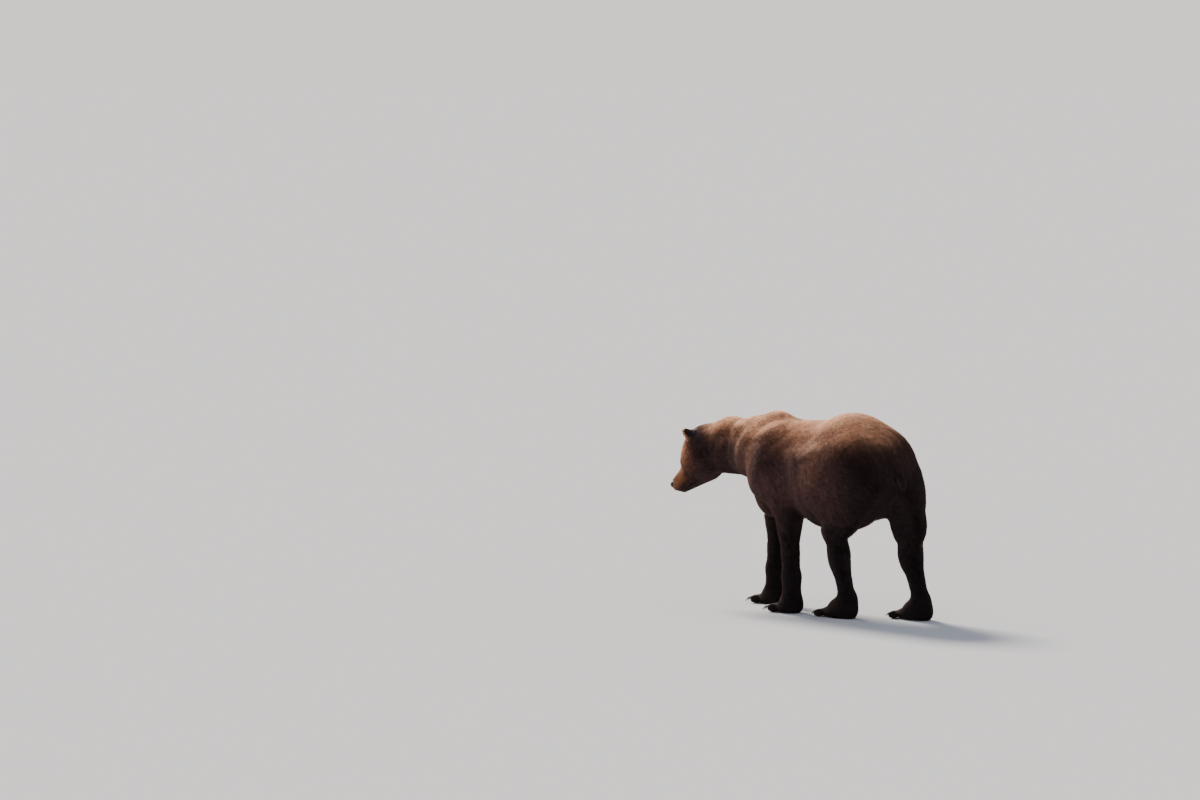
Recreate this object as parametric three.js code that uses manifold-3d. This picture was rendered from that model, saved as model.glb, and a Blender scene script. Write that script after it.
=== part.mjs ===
// A grizzly bear, life size, walking with its head low: left hind leg forward, right hind leg back.
// Millimetres. +X is the way the bear walks, +Y is its left, +Z is up. The soles stand on Z = 0.
//
// The flesh is one smooth body: balls and tapered bones that flow into each other, each named for the part
// of the animal that it shapes, out to the tips of the short coat. The body is then parted by thin cuts into
// head, neck, torso and legs.
import * as THREE from "three";
import { mergeVertices } from "three/addons/utils/BufferGeometryUtils.js";
import Module from "manifold-3d";

const wasm = await Module();
wasm.setup();

// ---- Driving dimensions -------------------------------------------------------------------------

const GAP = 0.3; // between parts that touch
const HUMP_HEIGHT = 1150; // floor to the top of the hump
const HUMP_X = 398;
const RUMP_HEIGHT = 1164;
const BELLY_HEIGHT = 476; // floor to the lowest point of the belly
const CHEST_WIDTH = 520;
const BELLY_WIDTH = 600;
const RUMP_WIDTH = 548;

const HEAD_AT = [1010, 50, 841]; // the middle of the skull
const HEAD_YAW = 20; // degrees to the left
const HEAD_PITCH = 40; // degrees down
const HEAD_LENGTH = 409; // nape to nose
const HEAD_WIDTH = 235; // over the cheeks

const EYE_RADIUS = 11.5;
const EAR_HEIGHT = 108;
const EAR_WIDTH = 98;
const EAR_DEPTH = 62;

const FORE_CLAW = 70; // length along the curve
const HIND_CLAW = 42;

const TAIL_ROOT = [-572, 0, 900];
const TAIL_TIP = [-656, 0, 748];

// The size of the grid that each part's surface is read on: smaller is finer.
const TORSO_CELL = 60;
const NECK_CELL = 48;
const THIGH_CELL = 48;
const SHANK_CELL = 37;
const PAW_CELL = 29;
const HEAD_CELL = 22;

const FUR = { color: 0x6b4535, roughness: 0.9, metalness: 0 };
const DARK_FUR = { color: 0x35241f, roughness: 0.9, metalness: 0 };
const FACE_FUR = { color: 0x7a5242, roughness: 0.9, metalness: 0 };
const NOSE_SKIN = { color: 0x1b1718, roughness: 0.45, metalness: 0 };
const EYE_GLASS = { color: 0x1c100a, roughness: 0.08, metalness: 0 };

// ---- Forms and the field they make --------------------------------------------------------------

const degrees = THREE.MathUtils.degToRad;
const mix = THREE.MathUtils.lerp;
const vector = (p) => new THREE.Vector3(...p);

// A frame at a place, turned by pitch (nose down), yaw (to the left) and roll, in degrees.
function frameAt(at, { pitch = 0, yaw = 0, roll = 0 } = {}) {
  const turn = new THREE.Euler(degrees(roll), degrees(pitch), degrees(yaw), "ZYX");
  return new THREE.Matrix4().makeRotationFromEuler(turn).setPosition(...at);
}

function ball(at, radii, { blend = 60, ...turn } = {}) {
  return { kind: "ball", place: frameAt(at, turn), radii, blend };
}

// A tapered bone from one joint to the next. flat is its width sideways as a share of its depth.
function bone(from, to, fromRadius, toRadius, { blend = 60, flat = 1 } = {}) {
  return { kind: "bone", place: new THREE.Matrix4(), from, to, fromRadius, toRadius, flat, blend };
}

// The same forms in the frame of what carries them, such as the head.
const within = (frame, forms) => forms.map((f) => ({ ...f, place: frame.clone().multiply(f.place) }));

const local = new THREE.Vector3();

function ballDistance({ radii: [a, b, c] }) {
  const { x, y, z } = local;
  const near = Math.hypot(x / a, y / b, z / c);
  const slope = Math.hypot(x / (a * a), y / (b * b), z / (c * c));
  return slope < 1e-9 ? -Math.min(a, b, c) : (near * (near - 1)) / slope;
}

function boneDistance({ from, to, fromRadius, toRadius, flat }) {
  const [dx, dy, dz] = [to[0] - from[0], to[1] - from[1], to[2] - from[2]];
  const [px, py, pz] = [local.x - from[0], local.y - from[1], local.z - from[2]];
  const along = (px * dx + py * dy + pz * dz) / (dx * dx + dy * dy + dz * dz);
  const t = Math.min(1, Math.max(0, along));
  const off = Math.hypot(px - t * dx, (py - t * dy) / flat, pz - t * dz);
  return (off - mix(fromRadius, toRadius, t)) * Math.min(1, flat);
}

// The smooth joining of two distances over a blend's width.
function flow(a, b, blend) {
  const h = Math.max(blend - Math.abs(a - b), 0) / blend;
  return Math.min(a, b) - (h * h * blend) / 4;
}

// How far a point is outside the body that the forms make together, negative inside.
function fieldOf(forms) {
  const ready = forms.map((f) => ({ ...f, inverse: f.place.clone().invert() }));
  return (x, y, z) => {
    let d = Infinity;
    for (const form of ready) {
      local.set(x, y, z).applyMatrix4(form.inverse);
      const one = form.kind === "ball" ? ballDistance(form) : boneDistance(form);
      d = d === Infinity ? one : flow(d, one, form.blend);
    }
    return d;
  };
}

// The place where a straight line from inside the body comes out of it.
function comesOut(field, from, direction, reach = 400) {
  let [inner, outer] = [0, reach];
  for (let i = 0; i < 40; i++) {
    const middle = (inner + outer) / 2;
    const p = from.clone().addScaledVector(direction, middle);
    if (field(p.x, p.y, p.z) < 0) inner = middle;
    else outer = middle;
  }
  return from.clone().addScaledVector(direction, inner);
}

// ---- Torso --------------------------------------------------------------------------------------

const torso = [
  ball([222, 0, 814], [312, CHEST_WIDTH / 2, 240], { pitch: 1 }), // rib cage
  ball([-130, 0, BELLY_HEIGHT + 288], [350, BELLY_WIDTH / 2, 288], { blend: 110, pitch: -7 }), // belly
  ball([-333, 0, 870], [280, RUMP_WIDTH / 2, 252], { blend: 110, pitch: 8 }), // rump
  ball([-228, 0, RUMP_HEIGHT - 150], [188, 165, 146], { blend: 80 }), // hips
  bone([210, 0, 940], [-120, 0, 955], 142, 158, { blend: 60 }), // loin
  ball([HUMP_X, 0, HUMP_HEIGHT - 170], [150, 116, 162], { blend: 80 }), // hump
  ball([520, 0, 968], [200, 104, 132], { blend: 60, pitch: 8 }), // withers
  ball([438, 0, 684], [110, 116, 162], { blend: 95 }), // brisket
  ball([286, 74, 938], [180, 88, 118], { blend: 90, roll: -14 }), // over the left shoulder blade
  ball([286, -74, 938], [180, 88, 118], { blend: 90, roll: 14 }), // over the right shoulder blade
];

// ---- Neck and head ------------------------------------------------------------------------------

const neck = [
  bone([500, 0, 912], [830, 20, 916], 164, 155, { blend: 90, flat: 0.86 }), // crest
  bone([830, 20, 916], [960, 42, 887], 155, 140, { blend: 24, flat: 0.88 }), // nape
  bone([606, 0, 872], [930, 38, 850], 110, 92, { blend: 50, flat: 0.9 }), // throat
  ball([505, 78, 885], [200, 120, 136], { blend: 70, yaw: -8 }), // base of the neck, left
  ball([505, -78, 885], [200, 120, 136], { blend: 70, yaw: 8 }), // base of the neck, right
];

// In the head's own frame +X is towards the nose and +Z is out of the crown.
const headFrame = frameAt(HEAD_AT, { pitch: HEAD_PITCH, yaw: HEAD_YAW });
const NOSE_X = HEAD_LENGTH - 148;
const CHEEK_Y = HEAD_WIDTH / 2;
const SIDES = { left: 1, right: -1 };

const skull = [
  ball([-25, 0, 8], [122, 106, 102], { blend: 90 }), // cranium
  ball([42, 0, 32], [82, 72, 58], { blend: 44, pitch: 12 }), // forehead
  bone([66, 0, -12], [NOSE_X - 40, 0, -24], 58, 38, { blend: 44, flat: 1.02 }), // muzzle
  bone([88, 0, 4], [NOSE_X - 30, 0, -10], 32, 24, { blend: 22, flat: 0.95 }), // bridge
  bone([10, 0, -92], [NOSE_X - 52, 0, -68], 60, 26, { blend: 32, flat: 0.95 }), // lower jaw
];
for (const side of Object.values(SIDES)) {
  skull.push(
    ball([-6, side * (CHEEK_Y - 60), -34], [108, 60, 90], { blend: 56, yaw: side * -9 }), // cheek
    ball([78, side * 38, 44], [32, 20, 16], { blend: 22, pitch: 16 }), // brow
    ball([108, side * 28, -18], [48, 28, 38], { blend: 28 }), // side of the muzzle
    ball([NOSE_X - 50, side * 19, -36], [44, 25, 28], { blend: 18 }), // upper lip
    ball([-52, side * 74, 78], [30, 32, 30], { blend: 30 }), // root of the ear
  );
}
const head = within(headFrame, skull);

// ---- Legs ---------------------------------------------------------------------------------------

// Where each leg's joints stand, and the radius of the calf. x is along the walk, y is out from the middle,
// z is up.
const FORELEGS = {
  left_fore: {
    side: 1,
    shoulder: [285, 160, 770],
    elbow: [124, 165, 550],
    wrist: [130, 138, 205],
    paw: [162, 136],
  },
  right_fore: {
    side: -1,
    shoulder: [450, 160, 770],
    elbow: [562, 147, 530],
    wrist: [573, 134, 205],
    paw: [608, 130],
  },
};
const HINDLEGS = {
  left_hind: {
    side: 1,
    hip: [-350, 150, 800],
    ham: [-366, 148, 705],
    hock: [-330, 146, 590],
    knee: [-264, 175, 515],
    heel: [-310, 108, 106],
    calf: 62,
    paw: [-230, 110],
  },
  right_hind: {
    side: -1,
    hip: [-400, 150, 800],
    ham: [-526, 148, 680],
    hock: [-584, 150, 528],
    knee: [-488, 165, 520],
    heel: [-656, 136, 106],
    calf: 70,
    paw: [-582, 140],
  },
};

const PAW_HEIGHT = 66;
const TOES = 5;
const FORE_PAW = { length: 176, width: 142, toe: 26, claw: FORE_CLAW, clawRadius: 7.5 };
const HIND_PAW = { length: 248, width: 138, toe: 23, claw: HIND_CLAW, clawRadius: 6.5 };

const sided = ([x, y, z], side) => [x, side * y, z];

function forelegForms({ side, shoulder, elbow, wrist, paw }) {
  const [s, e, w] = [shoulder, elbow, wrist].map((joint) => sided(joint, side));
  const blade = [(s[0] + HUMP_X) / 2 - 20, side * 136, 852];
  const forearm = [mix(e[0], w[0], 0.14), mix(e[1], w[1], 0.2), mix(e[2], w[2], 0.14)];
  return [
    ball(blade, [128, 86, 190], { blend: 80, pitch: -10, roll: side * 12 }), // shoulder blade
    bone(s, e, 124, 88, { blend: 64, flat: 0.78 }), // upper arm
    bone(e, w, 72, 51, { blend: 45, flat: 0.9 }), // forearm
    ball(forearm, [64, 58, 105], { blend: 40 }), // muscle of the forearm
    bone(w, [paw[0] - 34, side * paw[1], 66], 53, 54, { blend: 36 }), // wrist
  ];
}

function hindlegForms({ side, hip, ham, hock, knee, heel, calf, paw }) {
  const [h, k, a] = [hip, knee, heel].map((joint) => sided(joint, side));
  const calfAt = [mix(k[0], a[0], 0.36), mix(k[1], a[1], 0.4), mix(k[2], a[2], 0.36)];
  return [
    bone(h, k, 172, 88, { blend: 80, flat: 0.64 }), // thigh
    ball(sided(ham, side), [120, 92, 195], { blend: 80 }), // back of the thigh
    ball(sided(hock, side), [84, 62, 122], { blend: 50 }), // the thigh's lower end
    bone(k, a, calf + 4, 50, { blend: 50, flat: 0.84 }), // shank
    ball(calfAt, [calf, calf * 0.8, 104], { blend: 50 }), // calf
    bone(a, [paw[0] - 10, side * paw[1], 58], 48, 44, { blend: 46 }), // instep
    ball([paw[0] - HIND_PAW.length * 0.36, side * paw[1], 46], [46, 46, 44], { blend: 40 }), // heel
  ];
}

// Each toe's middle and how far it points away from straight ahead.
function toesOf([x, y], side, size) {
  return Array.from({ length: TOES }, (_, i) => {
    const across = i / (TOES - 1) - 0.5;
    const back = 98 * across * across;
    return {
      at: [x + size.length * 0.5 - back, side * y + across * size.width * 0.86, size.toe * 0.92],
      fan: across * 26,
    };
  });
}

// A sole, a back of the paw and five toes that fan out at the front.
function pawForms([x, y], side, size) {
  const sole = [x, side * y, PAW_HEIGHT * 0.42];
  const back = [x - size.length * 0.16, side * y, PAW_HEIGHT * 0.9];
  const toes = toesOf([x, y], side, size).map(({ at, fan }) =>
    ball(at, [size.toe * 1.35, size.toe * 0.86, size.toe * 1.02], { blend: 11, yaw: fan }),
  );
  return [
    ball(sole, [size.length * 0.5, size.width * 0.47, PAW_HEIGHT * 0.62], { blend: 40 }),
    ball(back, [size.length * 0.36, size.width * 0.38, 52], { blend: 40 }),
    ...toes,
  ];
}

const LIMBS = {};
for (const [name, leg] of Object.entries(FORELEGS)) {
  LIMBS[name] = { ...leg, joint: leg.elbow, end: leg.wrist, size: FORE_PAW, forms: forelegForms(leg) };
}
for (const [name, leg] of Object.entries(HINDLEGS)) {
  LIMBS[name] = { ...leg, joint: leg.knee, end: leg.heel, size: HIND_PAW, forms: hindlegForms(leg) };
}
for (const limb of Object.values(LIMBS)) {
  limb.forms.push(...pawForms(limb.paw, limb.side, limb.size));
  limb.field = fieldOf([...torso, ...limb.forms]);
}

const limbs = Object.values(LIMBS).flatMap((limb) => limb.forms);
const bodyField = fieldOf([...torso, ...neck, ...head, ...limbs]);
const headField = fieldOf([...neck, ...head]);

// ---- Surfaces read from a field -----------------------------------------------------------------

const BITS = [1, 2, 4]; // a cell's corner is numbered by its steps along X, Y and Z
const CORNERS = Array.from({ length: 8 }, (_, n) => BITS.map((bit) => (n & bit ? 1 : 0)));
const edgeName = (axis, corner) => axis * 8 + corner;

// The four edges round each face of a cell, in order, each with the corner where it starts.
const FACES = [0, 1, 2].flatMap((axis) => {
  const [u, v] = [(axis + 1) % 3, (axis + 2) % 3];
  return [0, BITS[axis]].map((base) => ({
    corners: [base, base | BITS[u], base | BITS[u] | BITS[v], base | BITS[v]],
    edges: [edgeName(u, base), edgeName(v, base | BITS[u]), edgeName(u, base | BITS[v]), edgeName(v, base)],
  }));
});

// The separate pieces of surface that pass through one cell, each as the list of the edges it crosses.
function patchesOf(inside) {
  const links = new Map();
  const join = (a, b) => {
    links.set(a, [...(links.get(a) ?? []), b]);
    links.set(b, [...(links.get(b) ?? []), a]);
  };
  for (const { corners, edges } of FACES) {
    const crossed = edges.filter((_, i) => inside[corners[i]] !== inside[corners[(i + 1) % 4]]);
    if (crossed.length === 2) join(...crossed);
    if (crossed.length === 4) {
      const first = inside[corners[0]] ? 3 : 0;
      join(edges[first], edges[(first + 1) % 4]);
      join(edges[(first + 2) % 4], edges[(first + 3) % 4]);
    }
  }
  const patches = [];
  const seen = new Set();
  for (const start of links.keys()) {
    const patch = [];
    const waiting = [start];
    while (waiting.length) {
      const edge = waiting.pop();
      if (seen.has(edge)) continue;
      seen.add(edge);
      patch.push(edge);
      waiting.push(...links.get(edge));
    }
    if (patch.length) patches.push(patch);
  }
  return patches;
}

// The middle of the places where a patch's edges cross the surface, as a share of the cell.
function crossingMean(patch, values) {
  const sum = [0, 0, 0];
  for (const edge of patch) {
    const [a, b] = [edge % 8, (edge % 8) | BITS[Math.floor(edge / 8)]];
    const t = values[a] / (values[a] - values[b]);
    CORNERS[a].forEach((c, i) => (sum[i] += mix(c, CORNERS[b][i], t) / patch.length));
  }
  return sum;
}

// Moves a cell's vertex down the slope of the field onto the surface, and keeps it in its cell.
function settled(field, share, origin, cell) {
  const p = share.map((s, i) => origin[i] + s * cell);
  const h = cell * 0.05;
  for (let pass = 0; pass < 3; pass++) {
    const d = field(...p);
    const slope = p.map((_, i) => (field(...p.map((v, j) => (i === j ? v + h : v))) - d) / h);
    const steep = slope.reduce((sum, g) => sum + g * g, 0);
    if (steep < 0.05) break;
    for (let i = 0; i < 3; i++) {
      const moved = p[i] - (d * slope[i]) / steep;
      p[i] = Math.min(origin[i] + cell * 0.97, Math.max(origin[i] + cell * 0.03, moved));
    }
  }
  return p;
}

// The closed surface of a field inside a box, read on a grid: one vertex for each patch in a cell, and one
// square across each grid edge that the surface crosses.
function surfaceOf(field, low, high, cell) {
  const counts = low.map((v, i) => Math.ceil((high[i] - v) / cell) + 3);
  const start = low.map((v) => v - cell * 1.37);
  const index = ([i, j, k]) => (k * counts[1] + j) * counts[0] + i;
  const at = (step) => step.map((n, i) => start[i] + n * cell);
  const bounded = (x, y, z) =>
    Math.max(field(x, y, z), low[0] - x, x - high[0], low[1] - y, y - high[1], low[2] - z, z - high[2]);
  const steps = [];
  for (let k = 0; k < counts[2]; k++)
    for (let j = 0; j < counts[1]; j++) for (let i = 0; i < counts[0]; i++) steps.push([i, j, k]);
  const values = steps.map((step) => bounded(...at(step)));

  const points = [];
  const vertexOf = new Map();
  for (const step of steps) {
    if (step.some((n, i) => n >= counts[i] - 1)) continue;
    const near = CORNERS.map((corner) => values[index(step.map((n, i) => n + corner[i]))]);
    const inside = near.map((d) => d < 0);
    if (inside.every((v) => v === inside[0])) continue;
    for (const patch of patchesOf(inside)) {
      for (const edge of patch) vertexOf.set(index(step) * 24 + edge, points.length / 3);
      points.push(...settled(bounded, crossingMean(patch, near), at(step), cell));
    }
  }

  const apart = (a, b) => Math.hypot(...[0, 1, 2].map((i) => points[3 * a + i] - points[3 * b + i]));
  const triangles = [];
  for (const step of steps) {
    if (step.some((n, i) => n < 1 || n >= counts[i] - 1)) continue;
    const inside = values[index(step)] < 0;
    for (const axis of [0, 1, 2]) {
      if (inside === values[index(step.map((n, i) => n + (i === axis ? 1 : 0)))] < 0) continue;
      const [u, v] = [(axis + 1) % 3, (axis + 2) % 3];
      const ring = [[0, 0], [1, 0], [1, 1], [0, 1]].map(([backU, backV]) => {
        const cellStep = [...step];
        cellStep[u] -= backU;
        cellStep[v] -= backV;
        const corner = (backU ? BITS[u] : 0) | (backV ? BITS[v] : 0);
        return vertexOf.get(index(cellStep) * 24 + edgeName(axis, corner));
      });
      const [p, q, r, s] = inside ? ring : ring.reverse();
      triangles.push(...(apart(p, r) < apart(q, s) ? [p, q, r, p, r, s] : [q, r, s, q, s, p]));
    }
  }
  return solidFrom(points, triangles);
}

// ---- Solids -------------------------------------------------------------------------------------

function solidFrom(points, triangles) {
  const mesh = { numProp: 3, vertProperties: new Float32Array(points), triVerts: new Uint32Array(triangles) };
  return new wasm.Manifold(new wasm.Mesh(mesh));
}

// A three.js geometry, placed by a matrix, as a solid.
function solidOf(geometry, matrix = new THREE.Matrix4()) {
  const bare = new THREE.BufferGeometry();
  bare.setAttribute("position", geometry.getAttribute("position").clone());
  if (geometry.index) bare.setIndex(geometry.index.clone());
  bare.applyMatrix4(matrix);
  const merged = mergeVertices(bare, 1e-3);
  return solidFrom(merged.attributes.position.array, merged.index.array);
}

function boxSolid(low, high) {
  const size = high.map((v, i) => v - low[i]);
  const middle = high.map((v, i) => (v + low[i]) / 2);
  return solidOf(new THREE.BoxGeometry(...size), new THREE.Matrix4().setPosition(...middle));
}

// A ball with three radii in a frame, of few faces.
function ballSolid(frame, radii, around = 12, rings = 8) {
  return solidOf(new THREE.SphereGeometry(1, around, rings), frame.clone().scale(vector(radii)));
}

// A closed tube of few sides along a row of points. across is the way each ring's first corner points.
function sweepSolid(points, across, radii, sides, flat = 1) {
  const rings = points.map((point, i) => {
    const before = points[Math.max(0, i - 1)];
    const after = points[Math.min(points.length - 1, i + 1)];
    const along = after.clone().sub(before).normalize();
    const up = along.clone().cross(across[i]).normalize();
    const out = up.clone().cross(along).multiplyScalar(flat);
    return Array.from({ length: sides }, (_, s) => {
      const turn = (s / sides) * 2 * Math.PI;
      const corner = point.clone().addScaledVector(out, Math.cos(turn) * radii[i]);
      return corner.addScaledVector(up, Math.sin(turn) * radii[i]);
    });
  });
  const triangles = [];
  for (let s = 0; s < sides; s++) {
    const next = (s + 1) % sides;
    for (let i = 0; i < rings.length - 1; i++) {
      const [a, b] = [i * sides + s, i * sides + next];
      triangles.push(a, b, a + sides, b, b + sides, a + sides);
    }
  }
  const last = (rings.length - 1) * sides;
  for (let s = 1; s < sides - 1; s++) triangles.push(0, s + 1, s, last, last + s, last + s + 1);
  return solidFrom(rings.flat().flatMap((p) => p.toArray()), triangles);
}

function geometryOf(solid) {
  const mesh = solid.getMesh();
  const geometry = new THREE.BufferGeometry();
  geometry.setAttribute("position", new THREE.BufferAttribute(new Float32Array(mesh.vertProperties), 3));
  geometry.setIndex(new THREE.BufferAttribute(new Uint32Array(mesh.triVerts), 1));
  geometry.computeVertexNormals();
  return geometry;
}

// The same solid with every corner moved out, to cut a neighbour clear of it.
function grown(solid, by = GAP * 1.5) {
  const geometry = geometryOf(solid);
  const { position, normal } = geometry.attributes;
  const points = Array.from(position.array, (v, i) => v + normal.array[i] * by);
  return solidFrom(points, geometry.index.array);
}

const largest = (solid) => solid.decompose().sort((a, b) => b.volume() - a.volume())[0];

// ---- Where the body is parted -------------------------------------------------------------------

const FAR = 2000; // past everything
const LEG_TOP = 430; // the level cut under the belly
const ANKLE = 96; // the level cut above the paws
const CHEST_BACK_X = 130;
const RUMP_FRONT_X = -200;
const NECK_BACK_X = 640;
const NAPE_CUT = [-122, 0, 100]; // where the cut behind the ears leaves the crown, in the head's frame
const NAPE_CUT_PITCH = 20;

const slab = (backX, frontX) => boxSolid([backX, -FAR, -FAR], [frontX, FAR, FAR]);
const level = (bottom, top) => boxSolid([-FAR, -FAR, bottom], [FAR, FAR, top]);

// How far each upper leg reaches along the body, and the slanting cut on its inside: inner is where the
// cut meets LEG_TOP, and slope is how steeply it rises to the outside.
const UPPER_LEGS = {
  left_fore: { backX: 18, frontX: 420, inner: 56, slope: 50 },
  right_fore: { backX: 330, frontX: 730, inner: 56, slope: 50 },
  left_hind: { backX: -900, frontX: -90, inner: 40, slope: 56 },
  right_hind: { backX: -900, frontX: -300, inner: 40, slope: 56 },
};

function upperLegRegion(name, gap) {
  const { backX, frontX, inner, slope } = UPPER_LEGS[name];
  const { side } = LIMBS[name];
  const size = 1400;
  const hinge = frameAt([(backX + frontX) / 2, side * inner, LEG_TOP], { roll: side * slope });
  const place = hinge.multiply(new THREE.Matrix4().makeTranslation(0, 0, gap - size / 2));
  const under = solidOf(new THREE.BoxGeometry(frontX - backX + 2 * gap, size, size), place);
  return under.intersect(level(LEG_TOP - gap, FAR));
}

// Everything in front of the cut behind the ears.
function headRegion(gap) {
  const size = 1200;
  const crown = vector(NAPE_CUT).applyMatrix4(headFrame);
  const cut = frameAt(crown.toArray(), { pitch: NAPE_CUT_PITCH, yaw: HEAD_YAW * 0.6 });
  return solidOf(new THREE.BoxGeometry(size, size, size), cut.multiply(frameAt([size / 2 - gap, 0, 0])));
}

// ---- Parts --------------------------------------------------------------------------------------

const bear = new THREE.Group();

function addPart(name, solid, finish) {
  const mesh = new THREE.Mesh(geometryOf(largest(solid)), new THREE.MeshStandardMaterial(finish));
  mesh.name = name;
  bear.add(mesh);
}

// Torso: chest, belly and rump, with the upper legs cut away.
let trunk = surfaceOf(bodyField, [-900, -420, 380], [760, 420, 1250], TORSO_CELL);
for (const name of Object.keys(LIMBS)) trunk = trunk.subtract(upperLegRegion(name, GAP));
trunk = trunk.intersect(level(LEG_TOP, FAR));
const rump = trunk.intersect(slab(-FAR, RUMP_FRONT_X));
addPart("chest", trunk.intersect(slab(CHEST_BACK_X + GAP, NECK_BACK_X)), FUR);
addPart("belly", trunk.intersect(slab(RUMP_FRONT_X + GAP, CHEST_BACK_X)), FUR);
addPart("rump", rump, FUR);

// Tail: a short stub that hangs against the rump.
const tailPoints = [0, 0.3, 0.7, 1].map((t) => vector(TAIL_ROOT).lerp(vector(TAIL_TIP), t));
const tailSide = tailPoints.map(() => vector([0, 1, 0]));
addPart("tail", sweepSolid(tailPoints, tailSide, [42, 40, 31, 13], 9, 1.15).subtract(grown(rump)), FUR);

// Neck: up to the cut behind the ears.
const neckSkin = surfaceOf(bodyField, [NECK_BACK_X - 90, -420, 560], [1300, 420, 1250], NECK_CELL);
const neckCut = neckSkin.intersect(slab(NECK_BACK_X + GAP, FAR)).subtract(headRegion(GAP));
addPart("neck", neckCut.subtract(upperLegRegion("right_fore", GAP)), FUR);

// Legs: the upper part under the slanting cut, the lower part, and the paw with its claws.
const UPPER_NAMES = { fore: "shoulder", hind: "thigh" };
const LOWER_NAMES = { fore: "forearm", hind: "shank" };

// A claw: a tapered hook in the plane of its toe, from the knuckle forward and down.
function clawSolid({ at, fan }, { claw, clawRadius, toe }) {
  const [rootTilt, tipTilt] = [-14, 62];
  const bend = claw / degrees(tipTilt - rootTilt);
  const toePlace = frameAt(at, { yaw: fan });
  const shares = [0, 0.4, 0.75, 1];
  const points = shares.map((t) => {
    const tilt = degrees(mix(rootTilt, tipTilt, t));
    const forward = bend * (Math.sin(tilt) - Math.sin(degrees(rootTilt)));
    const rise = bend * (Math.cos(tilt) - Math.cos(degrees(rootTilt)));
    return vector([toe * 0.5 + forward, 0, toe * 0.34 + rise]).applyMatrix4(toePlace);
  });
  const sideways = vector([0, 1, 0]).transformDirection(toePlace);
  const radii = shares.map((t) => Math.max(0.7, clawRadius * Math.sqrt(1 - t)));
  return sweepSolid(points, shares.map(() => sideways), radii, 5, 0.8);
}

for (const [name, limb] of Object.entries(LIMBS)) {
  const [sideName, end] = name.split("_");
  const [yLow, yHigh] = limb.side > 0 ? [0, 420] : [-420, 0];
  const { backX, frontX } = UPPER_LEGS[name];
  const upperSkin = surfaceOf(bodyField, [backX - 80, yLow, 360], [frontX + 80, yHigh, 1250], THIGH_CELL);
  addPart(`${sideName}_${UPPER_NAMES[end]}`, upperSkin.intersect(upperLegRegion(name, 0)), FUR);

  const xs = [limb.joint[0], limb.end[0]];
  const lowerLow = [Math.min(...xs) - 190, yLow, ANKLE - 60];
  const lowerHigh = [Math.max(...xs) + 190, yHigh, LEG_TOP + 60];
  const lowerSkin = surfaceOf(limb.field, lowerLow, lowerHigh, SHANK_CELL);
  const lower = lowerSkin.intersect(level(ANKLE + GAP, LEG_TOP - GAP));
  addPart(`${sideName}_${LOWER_NAMES[end]}`, lower, DARK_FUR);

  const [pawX] = limb.paw;
  const pawLow = [pawX - limb.size.length, yLow, -40];
  const pawHigh = [pawX + limb.size.length, yHigh, ANKLE + 40];
  let paw = surfaceOf(limb.field, pawLow, pawHigh, PAW_CELL);
  for (const toe of toesOf(limb.paw, limb.side, limb.size)) paw = paw.add(clawSolid(toe, limb.size));
  addPart(`${name}paw`, paw.intersect(level(0, ANKLE)), DARK_FUR);
}

// ---- Head ---------------------------------------------------------------------------------------

const onHead = (p) => vector(p).applyMatrix4(headFrame);
const headWay = (p) => vector(p).transformDirection(headFrame);

// A row of points on the lips, round the muzzle from one corner of the mouth to the other. drop is how far
// it runs below the line where the lips meet.
const MOUTH_FRONT_X = NOSE_X - 52; // where the lips are seen from, at the front and at the corners
const MOUTH_CORNER_X = 108;
const LIP_Z = -52; // the line of the mouth at the front and at its corners
const MOUTH_CORNER_Z = -72;
const MOUTH_ARC = 106; // degrees round that place
const MOUTH_STEPS = 12;
function lipLine(drop) {
  return Array.from({ length: MOUTH_STEPS + 1 }, (_, i) => {
    const share = (i / MOUTH_STEPS) * 2 - 1;
    const turn = degrees(share * MOUTH_ARC);
    const middle = mix(MOUTH_FRONT_X, MOUTH_CORNER_X, share * share);
    const out = headWay([Math.cos(turn), Math.sin(turn), 0]);
    const start = onHead([middle, 0, mix(LIP_Z, MOUTH_CORNER_Z, share * share) - drop]);
    return { point: comesOut(headField, start, out, 150), out };
  });
}

function lipSolid(drop, radius) {
  const line = lipLine(drop);
  const radii = line.map((_, i) => radius * mix(0.45, 1, Math.sin((Math.PI * i) / MOUTH_STEPS)));
  return sweepSolid(line.map((l) => l.point), line.map((l) => l.out), radii, 5, 0.8);
}

// Where each eye sits, the way it looks, and the way that the slit between its lids runs.
const EYE_AT = [68, 20, 30];
const EYE_WAY = [0.5, 0.8, 0.3];
const SLIT_WAY = [0.85, -0.2, -0.2];
const LID_LENGTH = 17; // half the slit between the lids
const LID_HEIGHT = 10;

function eyePlace(side) {
  const way = headWay(sided(EYE_WAY, side));
  const surface = comesOut(headField, onHead(sided(EYE_AT, side)), way, 120);
  const slit = headWay(sided(SLIT_WAY, side));
  const along = slit.sub(way.clone().multiplyScalar(slit.dot(way))).normalize();
  return { way, surface, along, above: way.clone().cross(along).multiplyScalar(side) };
}

// One lid: a rounded fold over or under the eye, from corner to corner.
function lidSolid({ way, surface, along, above }, upper) {
  const steps = 6;
  const points = Array.from({ length: steps + 1 }, (_, i) => {
    const turn = (Math.PI * i) / steps;
    const rise = Math.sin(turn) * LID_HEIGHT * (upper ? 1 : -0.85);
    const place = surface.clone().addScaledVector(along, Math.cos(turn) * LID_LENGTH);
    return comesOut(headField, place.addScaledVector(above, rise).addScaledVector(way, -25), way, 60);
  });
  const radii = points.map((_, i) => mix(2.6, upper ? 5.4 : 4.2, Math.sin((Math.PI * i) / steps)));
  return sweepSolid(points, points.map(() => way), radii, 5);
}

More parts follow.
